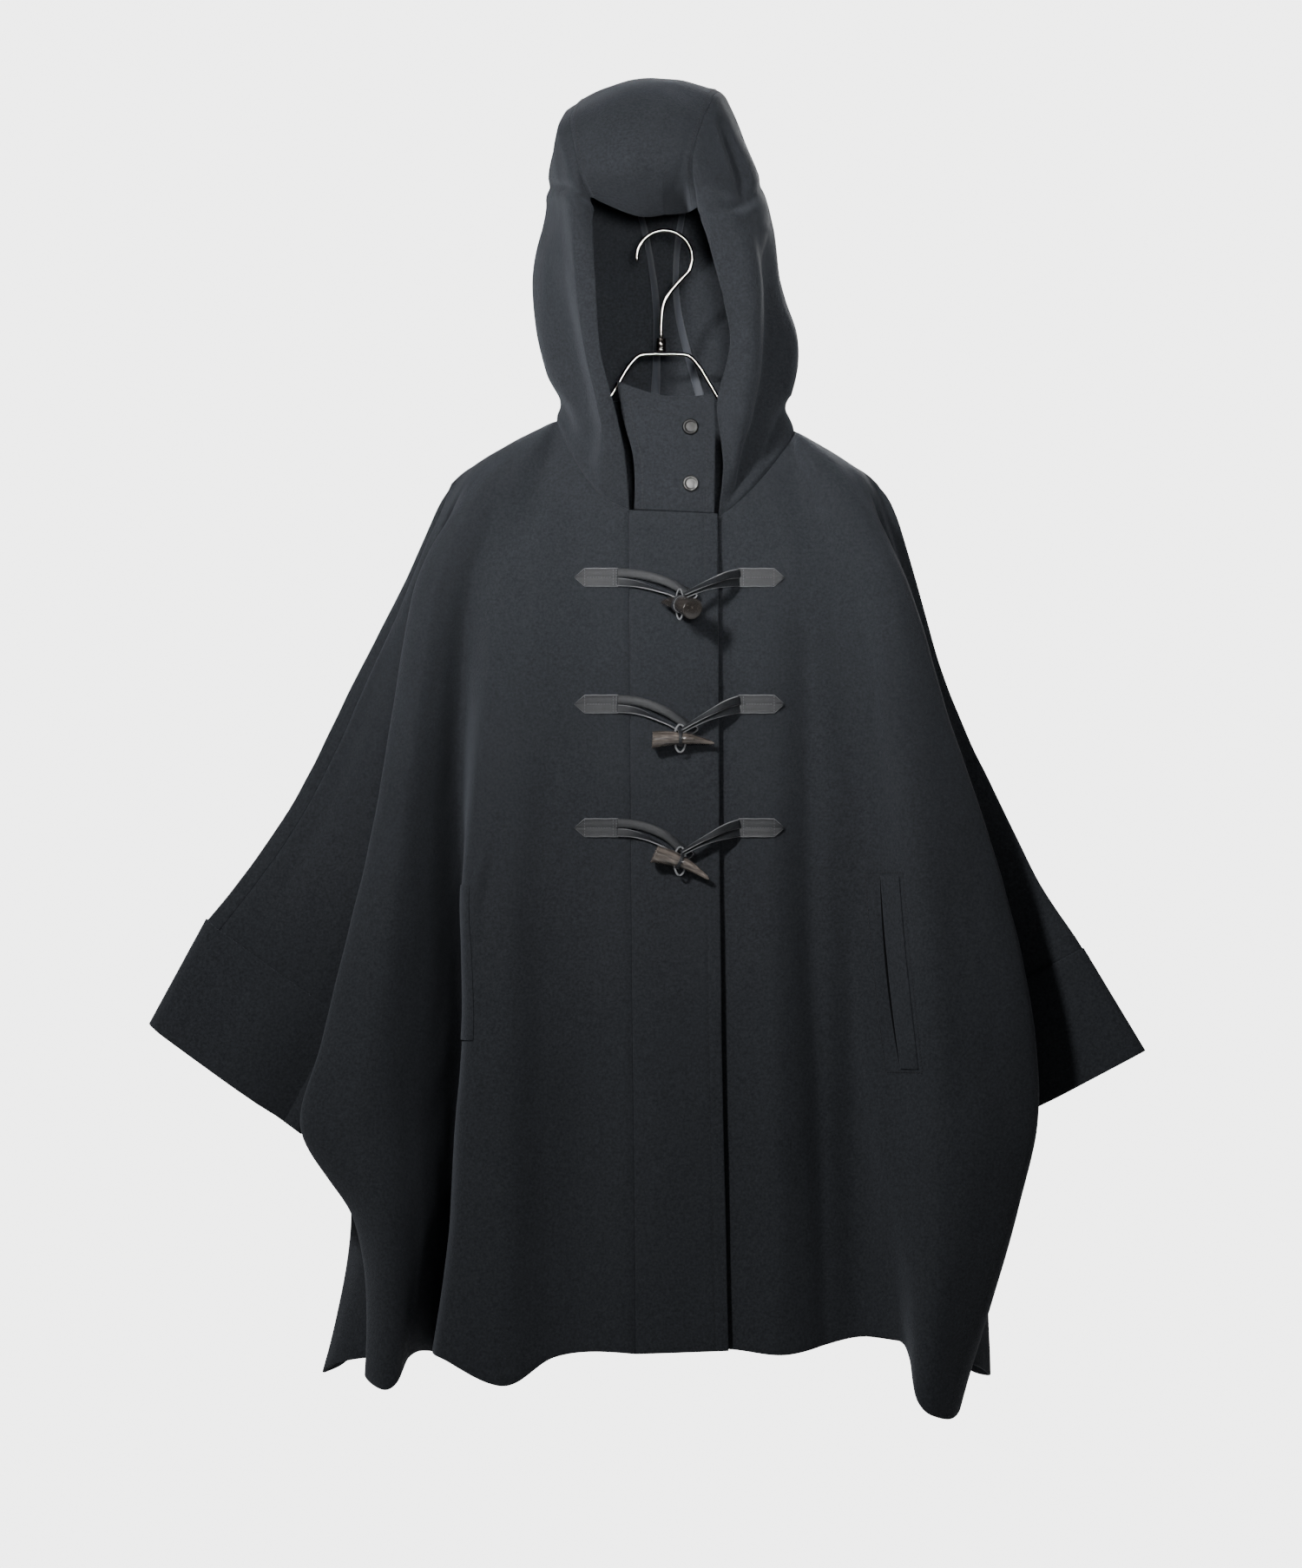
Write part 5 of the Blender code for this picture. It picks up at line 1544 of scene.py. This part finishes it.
def add_coat():
    """All the cloth, then what is sewn and fastened onto it."""
    panels, pinches, upper = coat_panels()
    normals = surface_normals([(rows, closed) for _, rows, closed in panels])
    grids = {name: rows for name, rows, _ in panels}
    layers = Face(*grids.values()).tree

    melton = melton_finish()
    # This thread is darker than the cloth: partly its own colour, partly painted shade of the sunk
    # stitch lines.
    thread = thread_finish("dark thread", (0.0055, 0.006, 0.0075))
    leather = leather_finish("strap leather", (0.0052, 0.0058, 0.0068),
                             (0.0125, 0.0135, 0.0155), 0.5)
    edging = leather_finish("painted leather edge", (0.085, 0.088, 0.093),
                            (0.14, 0.142, 0.147), 0.5)
    pale_thread = thread_finish("leather thread", (0.055, 0.057, 0.061))
    for name, rows, closed in panels:
        piece = shell(f"{name}_cloth", rows, normals, melton, closed, layers=layers,
                      pinches=pinches, replaces=(name,))
        trims = []
        if name == "hood_centre":
            trims = add_bindings(rows, normals, satin_finish())
        declare_sheet(rows, closed)

    tab = tab_rows()
    ends = [(f"cuff_{side}", cuff_rows(grids[f"coat_front_{side}"], grids["coat_back"], upper,
                                       sleeve), True)
            for side, sleeve in (("right", RIGHT_SLEEVE), ("left", LEFT_SLEEVE))]
    for name, rows, closed in (*ends, ("collar_tab", tab, False)):
        own = surface_normals([(rows, closed)])
        piece = shell(f"{name}_cloth", rows, own, melton, closed, replaces=(name,))
        declare_sheet(rows, closed)

    add_right_welt(grids["coat_front_right"], normals, melton)
    face = Face(grids["coat_front_right"], grids["front_placket"], grids["coat_front_left"])
    add_left_welt(face, melton, thread, slit_shadow_finish())
    add_patches(face, (leather, edging), pale_thread)
    add_toggles(face, (leather, edging))
    chin = Face(tab)
    nickel = metal_finish("antique nickel", (0.030, 0.030, 0.030), (0.070, 0.070, 0.068),
                          0.42, 300.0)
    # The upper cap's nickel is the lower one's made darker: painted shade.
    painted_shade_nickel = metal_finish("duller nickel", (0.015, 0.015, 0.015), (0.036, 0.036, 0.035),
                          0.46, 300.0)
    add_snap("snap_upper", chin, 24.0, -181.0, painted_shade_nickel)
    add_snap("snap_lower", chin, 24.4, -233.0, nickel)
    edge = [row[len(PLACKET_SHARES) - 1 - PLACKET_STITCH] for row in grids["front_placket"]]
    add_stitches("placket_stitches", [(edge, steady(face))], thread)
    add_tab_stitches(tab[TAB_ROLL_ROWS:], thread)
    add_hood_stitches(grids["hood_centre"], normals, thread)


def add_tab_stitches(rows, thread):
    """The topstitching along the chin tab's sides and under its rolled top."""
    columns = [len(TAB_SHARES) - 1 - TAB_SHARES.index(share) for share in TAB_STITCH_SHARES]
    lines = [([row[column] for row in rows], FORWARD) for column in columns]
    lines.append((rows[0][1:-1], FORWARD))
    add_stitches("tab_stitches", lines, thread)


def add_hood_stitches(strip, normals, thread):
    """The topstitching beside each seam of the hood's centre strip."""
    lines = []
    for column in (2, -3):
        line = [row[column] for row in strip[1:-2]]
        known = {key(row[column]): normals[key(row[column])] for row in strip}
        tree = KDTree(len(line))
        for n, point in enumerate(line):
            tree.insert(point, n)
        tree.balance()
        facing = [known[key(p)] for p in line]
        lines.append((line, lambda p, tree=tree, facing=facing: facing[tree.find(p)[1]]))
    add_stitches("hood_stitches", lines, thread)


# ---------------------------------------------------------------- photograph's view
VIEW_HEIGHT = 1.4448        # metres that the picture's height covers at the coat
CAMERA_AWAY = 8.0
CAMERA_X = -0.012
CAMERA_Z = -0.508
BAND_STOPS = ((0.095, (1.0, 1.0, 1.0)), (0.115, (0.04, 0.04, 0.041)))  # by the height's sine
BAND_TURN = (-0.5, 0.7, 0.4, 1.0)   # the band is dimmer on the viewer's side of the coat
BAND_STRENGTH = 2.2
BACKDROP = (2.0, 2.0, 1.99)         # how pale the backdrop looks
KEY_POWER = 20.5
KEY_SPREAD = 90.0       # degrees
FILL_POWER = 2.4
FILL_SPREAD = 15.0
BACK_POWER = 320.0
FLOOR_Z = -1.75
FLOOR_RADIUS = 3.9


def add_camera():
    """The level view from the front."""
    camera = bpy.data.cameras.new("front view")
    camera.sensor_fit = "VERTICAL"
    camera.sensor_height = 36.0
    camera.lens = 36.0 * CAMERA_AWAY / VIEW_HEIGHT
    camera.clip_end = 60.0
    stand = scene_object("front view", camera, (CAMERA_X, -CAMERA_AWAY, CAMERA_Z))
    stand.rotation_euler = (math.radians(90), 0, 0)
    bpy.context.scene.camera = stand


def add_light(name, place, aim, size, power, spread=180.0):
    """A round lamp that looks at a point."""
    lamp = bpy.data.lights.new(name, "AREA")
    lamp.shape = "DISK"
    lamp.size = size
    lamp.energy = power
    lamp.spread = math.radians(spread)
    stand = scene_object(name, lamp, place)
    stand.rotation_euler = (Vector(aim) - Vector(place)).to_track_quat("-Z", "Y").to_euler()


def add_sky():
    """A pale band round the horizon, and a plain backdrop that lights nothing itself."""
    world = bpy.data.worlds.new("pale studio")
    world.use_nodes = True
    sky = Nodes(world.node_tree)
    up = sky.node("ShaderNodeSeparateXYZ", None,
                  sky.node("ShaderNodeTexCoord", output="Generated"), output="Z")
    depth = Wave(sky, up.socket.node.outputs["Y"])
    band = sky.node("ShaderNodeValToRGB", {"stops": BAND_STOPS}, up.maths("ABSOLUTE", up))
    turned = sky.node("ShaderNodeMapRange", {"interpolation_type": "SMOOTHSTEP"}, depth,
                      *BAND_TURN)
    band = sky.node("ShaderNodeVectorMath", {"operation": "SCALE"}, band, Scale=turned)
    seen = sky.node("ShaderNodeLightPath", output="Is Camera Ray")
    sky.feed(sky.tree.nodes["Background"], (("Color", sky.blend(seen, band, BACKDROP)),
                                            ("Strength", BAND_STRENGTH)))
    bpy.context.scene.world = world


def add_studio():
    """A key at the left, a narrow fill in front, a wide one behind, and the floor."""
    add_sky()
    add_light("key", (-0.85, -1.62, 0.45), (0.14, 0, -0.36), 0.22, KEY_POWER, KEY_SPREAD)
    add_light("front fill", (0.2, -4.2, -0.02), (0, 0, -0.08), 0.5, FILL_POWER, FILL_SPREAD)
    add_light("back fill", (0.8, 4.2, 1.4), (0, 0, -0.4), 1.8, BACK_POWER)
    mesh = bmesh.new()
    bmesh.ops.create_circle(mesh, cap_ends=True, segments=96, radius=FLOOR_RADIUS)
    data = bpy.data.meshes.new("floor")
    mesh.to_mesh(data)
    mesh.free()
    data.materials.append(floor_finish())
    floor = scene_object("floor", data, (0, 0, FLOOR_Z))


add_camera()
add_hanger(metal_finish("champagne steel", (0.12, 0.108, 0.099), (0.26, 0.238, 0.222), 0.19, 60.0))
add_coat()
add_studio()
